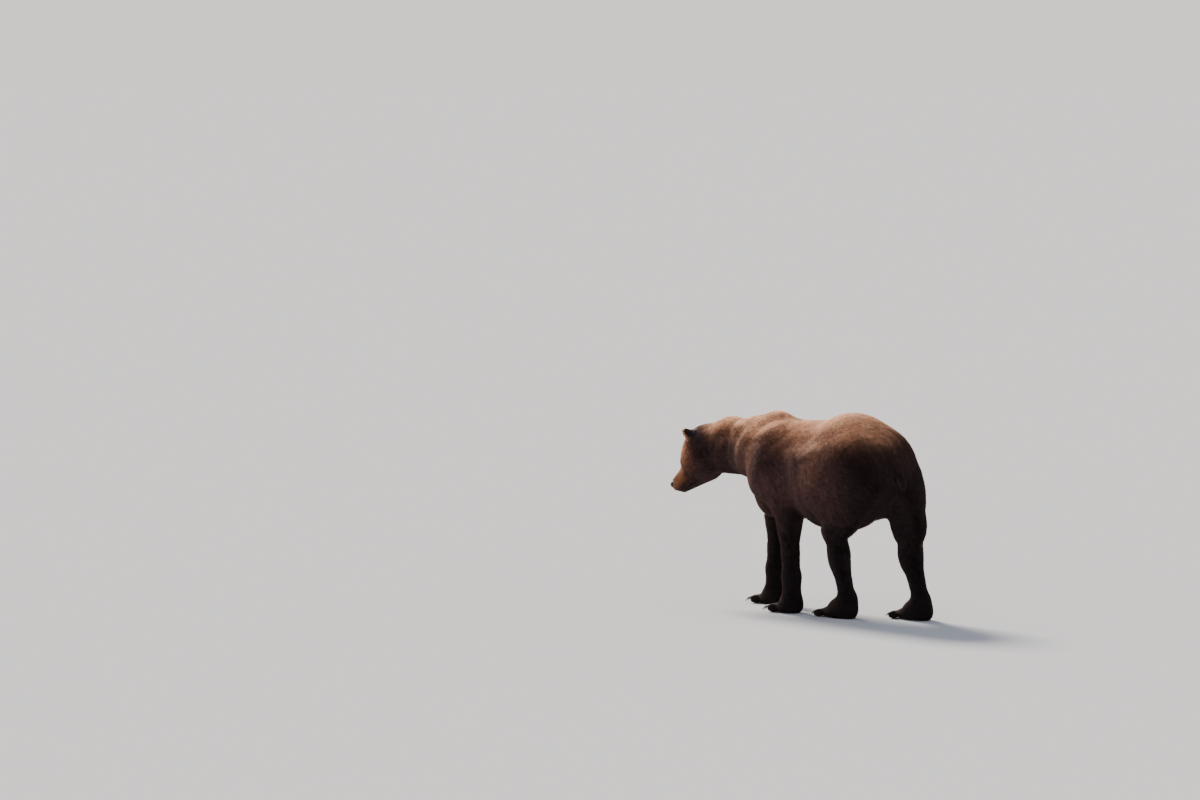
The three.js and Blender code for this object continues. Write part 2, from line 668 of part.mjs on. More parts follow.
const headBox = [[780, -220, 520], [1400, 360, 1180]];
let skin = surfaceOf(headField, ...headBox, HEAD_CELL).intersect(headRegion(0));
skin = skin.add(lipSolid(-6, 6.5)).add(lipSolid(7, 5.5));
skin = skin.subtract(lipSolid(0.5, 3.4));

const nosePlace = headFrame.clone().multiply(frameAt([NOSE_X - 17, 0, -12], { pitch: 8 }));
const NOSE_RADII = [22, 33, 26];
const NOSTRIL_RADII = [13, 6.5, 7.5];

for (const [sideName, side] of Object.entries(SIDES)) {
  const eye = eyePlace(side);
  skin = skin.add(lidSolid(eye, true)).add(lidSolid(eye, false));
  const centre = eye.surface.clone().addScaledVector(eye.way, -EYE_RADIUS * 0.55);
  const across = eye.way.clone().cross(eye.along);
  const eyeFrame = new THREE.Matrix4().makeBasis(eye.along, across, eye.way).setPosition(centre);
  const ballOf = (radius) => ballSolid(eyeFrame, [radius, radius, radius]);
  skin = skin.subtract(ballOf(EYE_RADIUS + GAP * 1.4));
  addPart(`${sideName}_eye`, ballOf(EYE_RADIUS), EYE_GLASS);
}
addPart("head", skin, FACE_FUR);

// Nose: the bare pad over the end of the muzzle, with two nostrils that open forward and outward.
let nose = ballSolid(nosePlace, NOSE_RADII).subtract(grown(largest(skin)));
for (const side of Object.values(SIDES)) {
  const nostril = nosePlace.clone().multiply(frameAt([18, side * 14, 3], { yaw: side * 32, pitch: -10 }));
  nose = nose.subtract(ballSolid(nostril, NOSTRIL_RADII, 8, 6));
}
addPart("nose", nose, NOSE_SKIN);

// Ears: round cups that open forward and outward, rooted on the back of the crown.
const EAR_AT = [-52, 80, 120];
const EAR_YAW = 4; // degrees outward
const EAR_ROLL = 24;
for (const [sideName, side] of Object.entries(SIDES)) {
  const earTurn = { yaw: side * EAR_YAW, roll: side * -EAR_ROLL };
  const place = headFrame.clone().multiply(frameAt(sided(EAR_AT, side), earTurn));
  const shell = ballSolid(place, [EAR_DEPTH / 2, EAR_WIDTH / 2, EAR_HEIGHT / 2]);
  const cupPlace = place.clone().multiply(frameAt([EAR_DEPTH * 0.42, 0, EAR_HEIGHT * 0.06]));
  const cup = ballSolid(cupPlace, [EAR_DEPTH * 0.38, EAR_WIDTH * 0.37, EAR_HEIGHT * 0.37]);
  addPart(`${sideName}_ear`, shell.subtract(cup).subtract(grown(largest(skin))), FUR);
}

bear.updateMatrixWorld(true);
const reach = new THREE.Box3().setFromObject(bear, true);
bear.position.set(-(reach.min.x + reach.max.x) / 2, -(reach.min.y + reach.max.y) / 2, -reach.min.z);

export default bear;
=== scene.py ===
import math

import bmesh
import bpy
import numpy as np
from mathutils import Euler, Matrix, Vector, kdtree


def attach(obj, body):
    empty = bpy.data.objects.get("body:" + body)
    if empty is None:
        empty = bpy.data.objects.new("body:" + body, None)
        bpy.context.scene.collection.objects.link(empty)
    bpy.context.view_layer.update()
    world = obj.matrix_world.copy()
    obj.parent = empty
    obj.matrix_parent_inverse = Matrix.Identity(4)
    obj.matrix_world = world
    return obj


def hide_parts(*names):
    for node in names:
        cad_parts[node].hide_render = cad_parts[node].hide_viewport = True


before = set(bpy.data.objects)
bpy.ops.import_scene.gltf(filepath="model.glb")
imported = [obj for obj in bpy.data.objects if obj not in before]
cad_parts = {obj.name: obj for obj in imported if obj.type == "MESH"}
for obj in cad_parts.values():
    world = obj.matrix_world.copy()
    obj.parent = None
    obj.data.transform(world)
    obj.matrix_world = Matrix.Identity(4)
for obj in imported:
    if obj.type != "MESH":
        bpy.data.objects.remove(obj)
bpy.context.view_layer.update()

# ---- Skin ---------------------------------------------------------------------------------------
# The hide over the whole bear, one surface from the muzzle to the tail and down to the soles. It lies
# inside the coat's outline by the depth of the fur, and carries the short underfur, the dark lips and lids
# and the bare soles. Millimetres while it is shaped, +X the way the bear walks.

WALK_TO_FRAME = np.array([-237.643, -0.184, 0.0])  # from the forms' origin to the part's


def to_frame(points):
    return (points + WALK_TO_FRAME) * 0.001


def turned(pitch=0, yaw=0, roll=0):
    return np.array(Euler([math.radians(a) for a in (roll, pitch, yaw)]).to_matrix())


def ball(at, radii, blend=60, **turn):
    radii = np.array(radii, float)
    return {"at": np.array(at, float), "turn": turned(**turn), "radii": radii, "blend": blend}


# A tapered bone from one joint to the next. flat is its width sideways as a share of its depth.
def bone(start, end, start_radius, end_radius, blend=60, flat=1.0):
    ends = np.array([start, end], float)
    return {
        "at": np.zeros(3),
        "turn": np.eye(3),
        "ends": ends,
        "thick": (start_radius, end_radius),
        "flat": flat,
        "blend": blend,
    }


# The same forms in the frame of what carries them, given as its place and its turn.
def carried(place, forms):
    at, turn = place
    return [{**f, "at": at + turn @ f["at"], "turn": turn @ f["turn"]} for f in forms]


def distance(form, points):
    local = (points - form["at"]) @ form["turn"]
    if "radii" in form:
        near = np.linalg.norm(local / form["radii"], axis=1)
        slope = np.linalg.norm(local / form["radii"] ** 2, axis=1)
        return near * (near - 1) / np.maximum(slope, 1e-4)
    start, end = form["ends"]
    run = end - start
    off = local - start
    t = np.clip(off @ run / (run @ run), 0, 1)
    off = off - t[:, None] * run
    off[:, 1] /= form["flat"]
    thick = form["thick"][0] + (form["thick"][1] - form["thick"][0]) * t
    return (np.linalg.norm(off, axis=1) - thick) * min(1, form["flat"])


# The smooth joining of two distances over a blend's width, and the smooth cutting of one by another.
def flow(a, b, blend):
    h = np.maximum(blend - np.abs(a - b), 0) / blend
    return np.minimum(a, b) - h * h * blend / 4


def carve(a, b, blend):
    return -flow(-a, b, blend)


FAR = 400.0  # past any surface


# How far points are outside the body that the forms make together. A form is left out past its reach.
def field(forms, points, reach=150.0):
    total = np.full(len(points), FAR)
    for form in forms:
        if "radii" in form:
            middle, size = form["at"], form["radii"].max()
        else:
            ends = form["at"] + form["ends"] @ form["turn"].T
            middle = ends.mean(axis=0)
            size = np.linalg.norm(ends[1] - ends[0]) / 2 + max(form["thick"]) * max(1, form["flat"])
        near = ((points - middle) ** 2).sum(axis=1) < (size + reach) ** 2
        if near.any():
            total[near] = flow(total[near], distance(form, points[near]), form["blend"])
    return total


SIDES = (1, -1)  # left and right
HUMP_HEIGHT = 1150  # floor to the top of the hump
HUMP_X = 398
RUMP_HEIGHT = 1164
RUMP_WIDTH = 548
BELLY_HEIGHT = 476  # floor to the lowest point of the belly
BELLY_WIDTH = 600
CHEST_WIDTH = 520
TORSO = [
    ball([222, 0, 814], [312, CHEST_WIDTH / 2, 240], pitch=1),  # rib cage
    ball([-130, 0, BELLY_HEIGHT + 288], [350, BELLY_WIDTH / 2, 288], 110, pitch=-7),  # belly
    ball([-333, 0, 870], [280, RUMP_WIDTH / 2, 252], 110, pitch=8),  # rump
    ball([-228, 0, RUMP_HEIGHT - 150], [188, 165, 146], 80),  # hips
    bone([250, 0, 955], [-120, 0, 955], 146, 158),  # loin
    ball([HUMP_X, 0, HUMP_HEIGHT - 170], [150, 116, 162], 80),  # hump
    ball([520, 0, 968], [200, 104, 132], pitch=8),  # withers
    ball([438, 0, 684], [110, 116, 162], 95),  # brisket
]
NECK = [
    bone([500, 0, 912], [790, 12, 928], 164, 159, 90, 0.86),  # crest
    bone([790, 12, 928], [960, 42, 895], 159, 146, 24, 0.88),  # nape
    bone([606, 0, 872], [930, 38, 850], 110, 92, 50, 0.9),  # throat
]
for side in SIDES:
    TORSO.append(ball([286, side * 74, 938], [180, 88, 118], 90, roll=side * -14))  # over the blade
    NECK.append(ball([505, side * 78, 885], [200, 120, 136], 70, yaw=side * -8))  # base of the neck
TAIL_ROOT, TAIL_BEND, TAIL_END = [-572, 0, 900], [-631, 0, 794], [-652, 0, 756]
TAIL = [
    bone(TAIL_ROOT, TAIL_BEND, 40, 34, 24, 1.15),
    bone(TAIL_BEND, TAIL_END, 31, 16, 20, 1.15),
]

# In the head's own frame +X is towards the nose, +Y to its left and +Z out of the crown.
HEAD_PLACE = (np.array([1010.0, 50, 841]), turned(pitch=40, yaw=20))
HEAD_LENGTH = 409  # nape to nose
HEAD_WIDTH = 235  # over the cheeks
NOSE_X = HEAD_LENGTH - 148
CHEEK_Y = HEAD_WIDTH / 2
SKULL = [
    ball([-25, 0, 8], [122, 106, 102], 90),  # cranium
    ball([42, 0, 32], [82, 72, 58], 44, pitch=12),  # forehead
    bone([66, 0, -12], [NOSE_X - 40, 0, -24], 58, 38, 44, 1.02),  # muzzle
    bone([88, 0, 4], [NOSE_X - 30, 0, -10], 32, 24, 22, 0.95),  # bridge
    bone([10, 0, -92], [NOSE_X - 52, 0, -68], 60, 26, 32, 0.95),  # lower jaw
]
for side in SIDES:
    SKULL += [
        ball([-6, side * (CHEEK_Y - 60), -34], [108, 60, 90], 56, yaw=side * -9),  # cheek
        ball([78, side * 38, 44], [32, 20, 16], 22, pitch=16),  # brow
        ball([108, side * 28, -18], [48, 28, 38], 28),  # side of the muzzle
        ball([NOSE_X - 50, side * 19, -36], [44, 25, 28], 18),  # upper lip
        ball([-52, side * 74, 78], [30, 32, 30], 30),  # root of the ear
    ]
HEAD = carried(HEAD_PLACE, SKULL)


def head_way(x, y, z):
    return HEAD_PLACE[1] @ np.array([x, y, z], float)


def head_point(x, y, z):
    return HEAD_PLACE[0] + head_way(x, y, z)


# Where each leg's joints stand, along the walk, out from the middle and up, and the radius of the calf.
FORELEGS = {
    "left": {
        "side": 1,
        "shoulder": (285, 160, 770),
        "elbow": (124, 165, 550),
        "wrist": (130, 138, 205),
        "paw": (162, 136),
    },
    "right": {
        "side": -1,
        "shoulder": (450, 160, 770),
        "elbow": (562, 147, 530),
        "wrist": (573, 134, 205),
        "paw": (608, 130),
    },
}
HINDLEGS = {
    "left": {
        "side": 1,
        "hip": (-350, 150, 800),
        "ham": (-366, 148, 705),
        "hock": (-330, 146, 590),
        "knee": (-264, 175, 515),
        "heel": (-310, 108, 106),
        "calf": 62,
        "paw": (-230, 110),
    },
    "right": {
        "side": -1,
        "hip": (-400, 150, 800),
        "ham": (-526, 148, 680),
        "hock": (-584, 150, 528),
        "knee": (-488, 165, 520),
        "heel": (-656, 136, 106),
        "calf": 70,
        "paw": (-582, 140),
    },
}
SOLE_HEIGHT, SOLE_DEPTH = 27.7, 40.9  # the middle of the sole's form, and half its thickness
BACK_HEIGHT, BACK_DEPTH = 59.4, 52  # the same of the back of the paw
FORE_PAW = {"length": 176, "width": 142, "toe": 26, "claw": 70, "claw_radius": 7.5}
HIND_PAW = {"length": 248, "width": 138, "toe": 23, "claw": 42, "claw_radius": 6.5}


def mix(a, b, t):
    return a + (b - a) * t


def joints_of(leg, names):
    return [np.array([leg[n][0], leg["side"] * leg[n][1], leg[n][2]], float) for n in names]


# Each toe's middle and how many degrees it points away from straight ahead.
def toes_of(leg, paw):
    toes = []
    for across in (-0.5, -0.25, 0, 0.25, 0.5):
        x = leg["paw"][0] + paw["length"] * 0.5 - 98 * across * across
        y = leg["side"] * leg["paw"][1] + across * paw["width"] * 0.86
        toes.append((np.array([x, y, paw["toe"] * 0.92]), across * 26))
    return toes


def paw_forms(leg, paw):
    x, y = leg["paw"][0], leg["side"] * leg["paw"][1]
    forms = [
        ball([x, y, SOLE_HEIGHT], [paw["length"] * 0.5, paw["width"] * 0.47, SOLE_DEPTH], 40),
        ball(
            [x - paw["length"] * 0.16, y, BACK_HEIGHT],
            [paw["length"] * 0.36, paw["width"] * 0.38, BACK_DEPTH],
            40,
        ),
    ]
    for at, fan in toes_of(leg, paw):
        toe = paw["toe"]
        forms.append(ball(at, [toe * 1.35, toe * 0.86, toe * 1.02], 11, yaw=fan))
    return forms


LEGS = []
for leg in FORELEGS.values():
    shoulder, elbow, wrist = joints_of(leg, ("shoulder", "elbow", "wrist"))
    blade = [(shoulder[0] + HUMP_X) / 2 - 20, leg["side"] * 136, 852]
    muscle = [mix(elbow[0], wrist[0], 0.14), mix(elbow[1], wrist[1], 0.2), mix(elbow[2], wrist[2], 0.14)]
    ankle = [leg["paw"][0] - 34, leg["side"] * leg["paw"][1], 66]
    LEGS += [
        ball(blade, [128, 86, 190], 80, pitch=-10, roll=leg["side"] * 12),
        bone(shoulder, elbow, 124, 88, 64, 0.78),  # upper arm
        bone(elbow, wrist, 72, 51, 45, 0.9),  # forearm
        ball(muscle, [64, 58, 105], 40),
        bone(wrist, ankle, 53, 54, 36),
        *paw_forms(leg, FORE_PAW),
    ]
for leg in HINDLEGS.values():
    hip, ham, hock, knee, heel = joints_of(leg, ("hip", "ham", "hock", "knee", "heel"))
    calf_at = [mix(knee[0], heel[0], 0.36), mix(knee[1], heel[1], 0.4), mix(knee[2], heel[2], 0.36)]
    instep = [leg["paw"][0] - 10, leg["side"] * leg["paw"][1], 58]
    back_of_heel = [leg["paw"][0] - HIND_PAW["length"] * 0.36, leg["side"] * leg["paw"][1], 46]
    LEGS += [
        bone(hip, knee, 172, 88, 80, 0.64),  # thigh
        ball(ham, [120, 92, 195], 80),
        ball(hock, [84, 62, 122], 50),
        bone(knee, heel, leg["calf"] + 4, 50, 50, 0.84),  # shank
        ball(calf_at, [leg["calf"], leg["calf"] * 0.8, 104], 50),
        bone(heel, instep, 48, 44, 46),
        ball(back_of_heel, [46, 46, 44], 40),
        *paw_forms(leg, HIND_PAW),
    ]

BODY = [*TORSO, *NECK, *HEAD, *LEGS, *TAIL]

# Each ear is a round cup that opens forward and outward.
EAR_AT = (-52, 80, 120)  # in the head's own frame, on the left
EAR_YAW, EAR_ROLL = 4, 24  # degrees outward
EAR_SHELL = ball([0, 0, 0], [31, 49, 54])
EAR_CUP = ball([26, 0, 6.5], [23.6, 36.3, 40])
EARS = []
for side in SIDES:
    ear_turn = HEAD_PLACE[1] @ turned(yaw=side * EAR_YAW, roll=side * -EAR_ROLL)
    EARS.append((head_point(EAR_AT[0], side * EAR_AT[1], EAR_AT[2]), ear_turn))


def ear_level(points):
    total = np.full(len(points), FAR)
    for place in EARS:
        shell, cup = (distance(form, points) for form in carried(place, [EAR_SHELL, EAR_CUP]))
        total = np.minimum(total, carve(shell, cup, 10))
    return total


def ear_near(points):
    return np.argmin([np.linalg.norm(points - at, axis=1) for at, _ in EARS], axis=0)


# A smooth rise from nought to one between two values.
def ramp(x, start, end):
    t = np.clip((x - start) / (end - start), 0, 1)
    return t * t * (3 - 2 * t)


# Folds where the coat sinks between one part of the body and the next: the side, the line that each follows
# along the walk and up, its depth and half its width.
FOLDS = [
    (1, [(210, 1070), (120, 900), (44, 760), (-30, 650)], 9, 58),  # behind the left shoulder
    (-1, [(330, 1070), (300, 900), (296, 760), (310, 650)], 9, 58),  # behind the right shoulder
    (1, [(-60, 800), (-96, 680), (-128, 520)], 9, 50),  # the left flank, in front of the thigh
    (-1, [(-150, 900), (-236, 720), (-300, 540)], 11, 44),  # the right flank
    (1, [(596, 1020), (604, 880), (570, 760)], 7, 46),  # the left side of the neck's base
    (-1, [(640, 1020), (664, 880), (650, 740)], 7, 46),  # the right side of the neck's base
]

CLEFT_DEPTH, CLEFT_WIDTH = 16, 30  # between the haunches, below the tail


def fold_depth(points):
    total = np.zeros(len(points))
    for side, line, depth, width in FOLDS:
        near = np.full(len(points), FAR)
        flat = points[:, [0, 2]]
        for start, end in zip(np.array(line[:-1], float), np.array(line[1:], float)):
            run = end - start
            t = np.clip((flat - start) @ run / (run @ run), 0, 1)
            near = np.minimum(near, np.linalg.norm(flat - start - t[:, None] * run, axis=1))
        total += depth * np.exp(-((near / width) ** 2)) * ramp(side * points[:, 1], 40, 130)
    below_tail = ramp(-points[:, 0], 480, 560) * ramp(820 - points[:, 2], 0, 90)
    return total + CLEFT_DEPTH * below_tail * np.exp(-((points[:, 1] / CLEFT_WIDTH) ** 2))


# How far points are outside the coat's tips.
def outline(points):
    return flow(field(BODY, points) + fold_depth(points), ear_level(points), 16)


def on_head(points):
    return (points - HEAD_PLACE[0]) @ HEAD_PLACE[1]


# One where a point belongs to the head rather than the body, running out over the nape.
def headness(points):
    return ramp(on_head(points)[:, 0], -190, -90) * ramp(points[:, 0], 820, 900)


def earness(points):
    return ramp(ear_level(points), 14, 2) * ramp(on_head(points)[:, 2], 84, 112) * headness(points)


def tailness(points):
    return ramp(-field(TAIL, points), -24, -6)


# The coat's depth from the skin to the tips: deep on the trunk, short on the legs, least on the face.
def coat_depth(points):
    head = on_head(points)
    depth = mix(8.0, 19.0, ramp(points[:, 2], 150, 560))
    depth = mix(4.5, depth, ramp(points[:, 2], 70, 170))
    face = np.interp(head[:, 0], [-120, -20, 60, 130, 250], [17, 11, 6, 4, 2.5])
    depth = mix(depth, face, headness(points))
    return mix(depth, 4.0, earness(points))


# The place where a straight line from inside the body comes out through a level.
def comes_out(level, start, way, reach=120.0):
    inner, outer = 0.0, reach
    for _ in range(30):
        middle = (inner + outer) / 2
        if level((start + way * middle)[None])[0] < 0:
            inner = middle
        else:
            outer = middle
    return start + way * inner


def hide(points):
    return outline(points) + coat_depth(points)


# Each eye: its middle, the way it looks, and the way along the slit between its lids and across it.
EYE_RADIUS = 11.0
EYE_SUNK = 8.4  # from the hide to the eye's middle
LID_SLIT = np.array([12.8, 6.6, 16])  # half its length, its height and its depth
EYES = []
for side in SIDES:
    way = head_way(0.5, side * 0.8, 0.3)
    way /= np.linalg.norm(way)
    surface = comes_out(hide, head_point(68, side * 20, 30), way)
    slit = head_way(0.85, side * -0.2, -0.2)
    along = slit - way * (slit @ way)
    along /= np.linalg.norm(along)
    above = np.cross(way, along) * side
    EYES.append({"at": surface - way * EYE_SUNK, "way": way, "along": along, "above": above})


MOUTH_FRONT, MOUTH_CORNER = np.array([NOSE_X - 52, -52]), np.array([108, -72])  # along the head and up
MOUTH_ARC = 106  # degrees round to each corner


# A row of points on the hide round the muzzle, from one corner of the mouth to the other. drop is how far
# it runs below the line where the lips meet.
def lip_line(drop, steps=16):
    line = []
    for share in np.linspace(-1, 1, steps + 1):
        turn = math.radians(share * MOUTH_ARC)
        middle_x, middle_z = mix(MOUTH_FRONT, MOUTH_CORNER, share * share)
        start = head_point(middle_x, 0, middle_z - drop)
        line.append(comes_out(hide, start, head_way(math.cos(turn), math.sin(turn), 0), 150))
    return np.array(line)


UPPER_LIP, BETWEEN_LIPS, LOWER_LIP = (lip_line(drop) for drop in (-6, 0.5, 6))


# How far points are outside a string along a line, which thins towards both ends.
def string_distance(line, radius, points):
    total = np.full(len(points), FAR)
    for i in range(len(line) - 1):
        share = math.sin(math.pi * (i + 0.5) / (len(line) - 1))
        thick = radius * mix(0.5, 1, share)
        total = np.minimum(total, distance(bone(line[i], line[i + 1], thick, thick), points))
    return total


def lid_level(eye, points):
    axes = np.stack([eye["along"], eye["above"], eye["way"]], axis=1)
    form = {"at": eye["at"] + eye["way"] * 8, "turn": axes, "radii": LID_SLIT}
    return distance(form, points)


NOSE_PLACE = (head_point(NOSE_X - 17, 0, -12), HEAD_PLACE[1] @ turned(pitch=8))
NOSE_FORMS = carried(NOSE_PLACE, [ball([0, 0, 2], [23.5, 29, 21]), ball([7, 0, -12], [18, 18, 17], 12)])
for side in SIDES:
    NOSE_FORMS += carried(NOSE_PLACE, [ball([2, side * 17, 1], [17, 14, 18], 9)])


SOCKET_RADIUS = 21  # of the hollow round each eye


# The skin itself: the hide with sockets, lids, lips and the groove between them, set back under the nose.
def skin_level(points):
    level = hide(points)
    near_face = (headness(points) > 0) & (np.abs(level) < 60)
    face = points[near_face]
    if not len(face):
        return level
    d = level[near_face]
    for eye in EYES:
        ring = np.linalg.norm(face - (eye["at"] - eye["way"] * 1.5), axis=1)
        d = carve(d, np.abs(ring - SOCKET_RADIUS) - 2.4 + 4 * (ring > 30), 9)
        from_eye = np.linalg.norm(face - eye["at"], axis=1)
        d = flow(d, from_eye - (EYE_RADIUS + 2.3), 7)
        d = carve(d, lid_level(eye, face), 1.6)
        d = carve(d, from_eye - (EYE_RADIUS - 0.4), 0.6)
    d = flow(d, string_distance(UPPER_LIP, 4.6, face), 9)
    d = flow(d, string_distance(LOWER_LIP, 3.8, face), 9)
    d = carve(d, string_distance(BETWEEN_LIPS, 2.0, face), 2.4)
    d += 8 * ramp(-field(NOSE_FORMS, face), 0, 5)
    level[near_face] = d
    return level


CORNERS = [(n & 1, n >> 1 & 1, n >> 2 & 1) for n in range(8)]
EDGES = [(a, a | bit) for bit in (1, 2, 4) for a in range(8) if not a & bit]


# The surface where a level is zero, read on a grid: one point in each cell that it crosses, and one square
# across each grid edge. Cells far from the surface are passed over in blocks.
def netted(level, low, high, cell, block=4):
    low = np.array(low, float)
    blocks = np.ceil((np.array(high) - low) / (cell * block)).astype(int)
    grid = np.stack(np.meshgrid(*[np.arange(n) for n in blocks], indexing="ij"), axis=-1)
    middles = low + (grid.reshape(-1, 3) + 0.5) * cell * block
    rough = level(middles).reshape(blocks)
    wide = np.abs(rough) < cell * block * 1.5
    near = np.repeat(np.repeat(np.repeat(wide, block, 0), block, 1), block, 2)
    values = np.repeat(np.repeat(np.repeat(np.where(rough < 0, -99.0, 99.0), block, 0), block, 1), block, 2)
    padded = np.pad(near, 1)
    needed = np.zeros_like(near)
    for dx, dy, dz in CORNERS:
        n = near.shape
        needed |= padded[1 - dx : 1 - dx + n[0], 1 - dy : 1 - dy + n[1], 1 - dz : 1 - dz + n[2]]
    nodes = np.argwhere(needed)
    values[tuple(nodes.T)] = level(low + nodes * cell)

    shape = np.array(values.shape) - 1
    corner_values = np.stack(
        [values[x : x + shape[0], y : y + shape[1], z : z + shape[2]] for x, y, z in CORNERS], axis=-1
    )
    inside = corner_values < 0
    crossed = inside.any(axis=-1) & ~inside.all(axis=-1)
    cells = np.argwhere(crossed)
    corner_values = corner_values[crossed]
    total = np.zeros((len(cells), 3))
    count = np.zeros(len(cells))
    for a, b in EDGES:
        va, vb = corner_values[:, a], corner_values[:, b]
        cut = (va < 0) != (vb < 0)
        t = np.where(cut, va / np.where(cut, va - vb, 1), 0)
        place = np.array(CORNERS[a]) + t[:, None] * (np.array(CORNERS[b]) - np.array(CORNERS[a]))
        total += place * cut[:, None]
        count += cut
    points = low + (cells + total / count[:, None]) * cell
    names = np.full(shape, -1)
    names[tuple(cells.T)] = np.arange(len(cells))

    quads = []
    for axis in range(3):
        u, v = (axis + 1) % 3, (axis + 2) % 3
        first = [slice(1, -1)] * 3
        second = list(first)
        second[axis] = slice(2, None)
        a = values[tuple(first)] < 0
        b = values[tuple(second)] < 0
        steps = np.argwhere(a != b) + 1
        outward = values[tuple(steps.T)] < 0
        ring = []
        for back_u, back_v in ((0, 0), (1, 0), (1, 1), (0, 1)):
            cell_step = steps.copy()
            cell_step[:, u] -= back_u
            cell_step[:, v] -= back_v
            ring.append(names[tuple(np.minimum(cell_step, shape - 1).T)])
        ring = np.stack(ring, axis=1)
        ring[~outward] = ring[~outward, ::-1]
        quads.append(ring[(ring >= 0).all(axis=1)])
    return points, np.concatenate(quads)


def slope_of(level, points, step=1.0):
    here = level(points)
    ways = [level(points + np.eye(3)[i] * step) - here for i in range(3)]
    return here, np.stack(ways, axis=1) / step


def settled(level, points, furthest, passes=3):
    for _ in range(passes):
        here, slope = slope_of(level, points)
        move = slope * (-here / np.maximum((slope**2).sum(axis=1), 0.1))[:, None]
        far = np.linalg.norm(move, axis=1, keepdims=True)
        points = points + move * np.minimum(1, furthest / np.maximum(far, 1e-6))
    return points


def unit(vectors):
    return vectors / np.maximum(np.linalg.norm(vectors, axis=-1, keepdims=True), 1e-9)


SKIN_CELL = 10.0
SKIN_LOW, SKIN_HIGH = [-740, -320, -12], [1240, 330, 1180]  # a box round the whole bear
SOLE_LEVEL = 0.5  # the lowest that the skin comes to the floor
skin_points, skin_quads = netted(hide, SKIN_LOW, SKIN_HIGH, SKIN_CELL)
skin_points = settled(hide, skin_points, SKIN_CELL * 0.5)

# Finer where the form is finer: the head and paws once, the face twice, and round the eyes three times.
skin_form = bmesh.new()
skin_mesh = bpy.data.meshes.new("skin")
skin_mesh.from_pydata(skin_points.tolist(), [], skin_quads.tolist())
skin_form.from_mesh(skin_mesh)


def finer(where):
    points = np.array([v.co for v in skin_form.verts])
    chosen = where(points)
    skin_form.verts.ensure_lookup_table()
    edges = [e for e in skin_form.edges if chosen[e.verts[0].index] and chosen[e.verts[1].index]]
    bmesh.ops.subdivide_edges(skin_form, edges=edges, cuts=1, use_grid_fill=True)
    skin_form.verts.index_update()


def near_eyes(points):
    return np.min([np.linalg.norm(points - eye["at"], axis=1) for eye in EYES], axis=0)


finer(lambda p: (headness(p) > 0.3) | (p[:, 2] < 100))
finer(lambda p: (headness(p) > 0.9) & (on_head(p)[:, 0] > 46) | (near_eyes(p) < 45))
finer(lambda p: near_eyes(p) < 26)
bmesh.ops.triangulate(skin_form, faces=skin_form.faces[:])
skin_form.to_mesh(skin_mesh)
skin_form.free()

flat_points = np.empty(len(skin_mesh.vertices) * 3)
skin_mesh.vertices.foreach_get("co", flat_points)
skin_points = settled(skin_level, flat_points.reshape(-1, 3), 3.0, passes=4)
skin_points[:, 2] = np.maximum(skin_points[:, 2], SOLE_LEVEL)
skin_mesh.vertices.foreach_set("co", to_frame(skin_points).ravel())
flat_faces = np.empty(len(skin_mesh.polygons) * 3, dtype=np.int64)
skin_mesh.polygons.foreach_get("vertices", flat_faces)
skin_faces = flat_faces.reshape(-1, 3)
skin_slope = unit(slope_of(hide, skin_points)[1])


# Smooth noise from a few crossing waves, between about minus one and one.
def wavy(points, size, seed):
    draw = np.random.default_rng(seed)
    total = np.zeros(len(points))
    for _ in range(7):
        way = draw.normal(size=3)
        way *= draw.uniform(0.7, 1.5) / np.linalg.norm(way)
        total += np.sin(points @ way * (2 * math.pi / size) + draw.uniform(0, 7))
    return total / 3.2


# The markings, alike on the skin and the coat. Golden along the top: partly the coat's own colour and
# partly painted sunlight on the faces that look up. Reddish brown on the flanks, with painted highlights
# on the shoulder and the loin. Nearly black legs and haunches, the rump darkened further with painted shade.
# Painted shade on the undersides, under the jaw, on the lower neck and throat, on the cheeks, behind the ears
# and down the muzzle's side. A pale forehead and muzzle, the forehead paler with painted sunlight where it
# looks up. Dark round the eyes. The ears golden in front, partly painted sunlight, and dark behind as
# painted shade.
GOLD = np.array([0.68, 0.315, 0.17])
RUSSET = np.array([0.098, 0.05, 0.047])
DARK = np.array([0.022, 0.0156, 0.0176])
PALE = np.array([0.45, 0.198, 0.108])


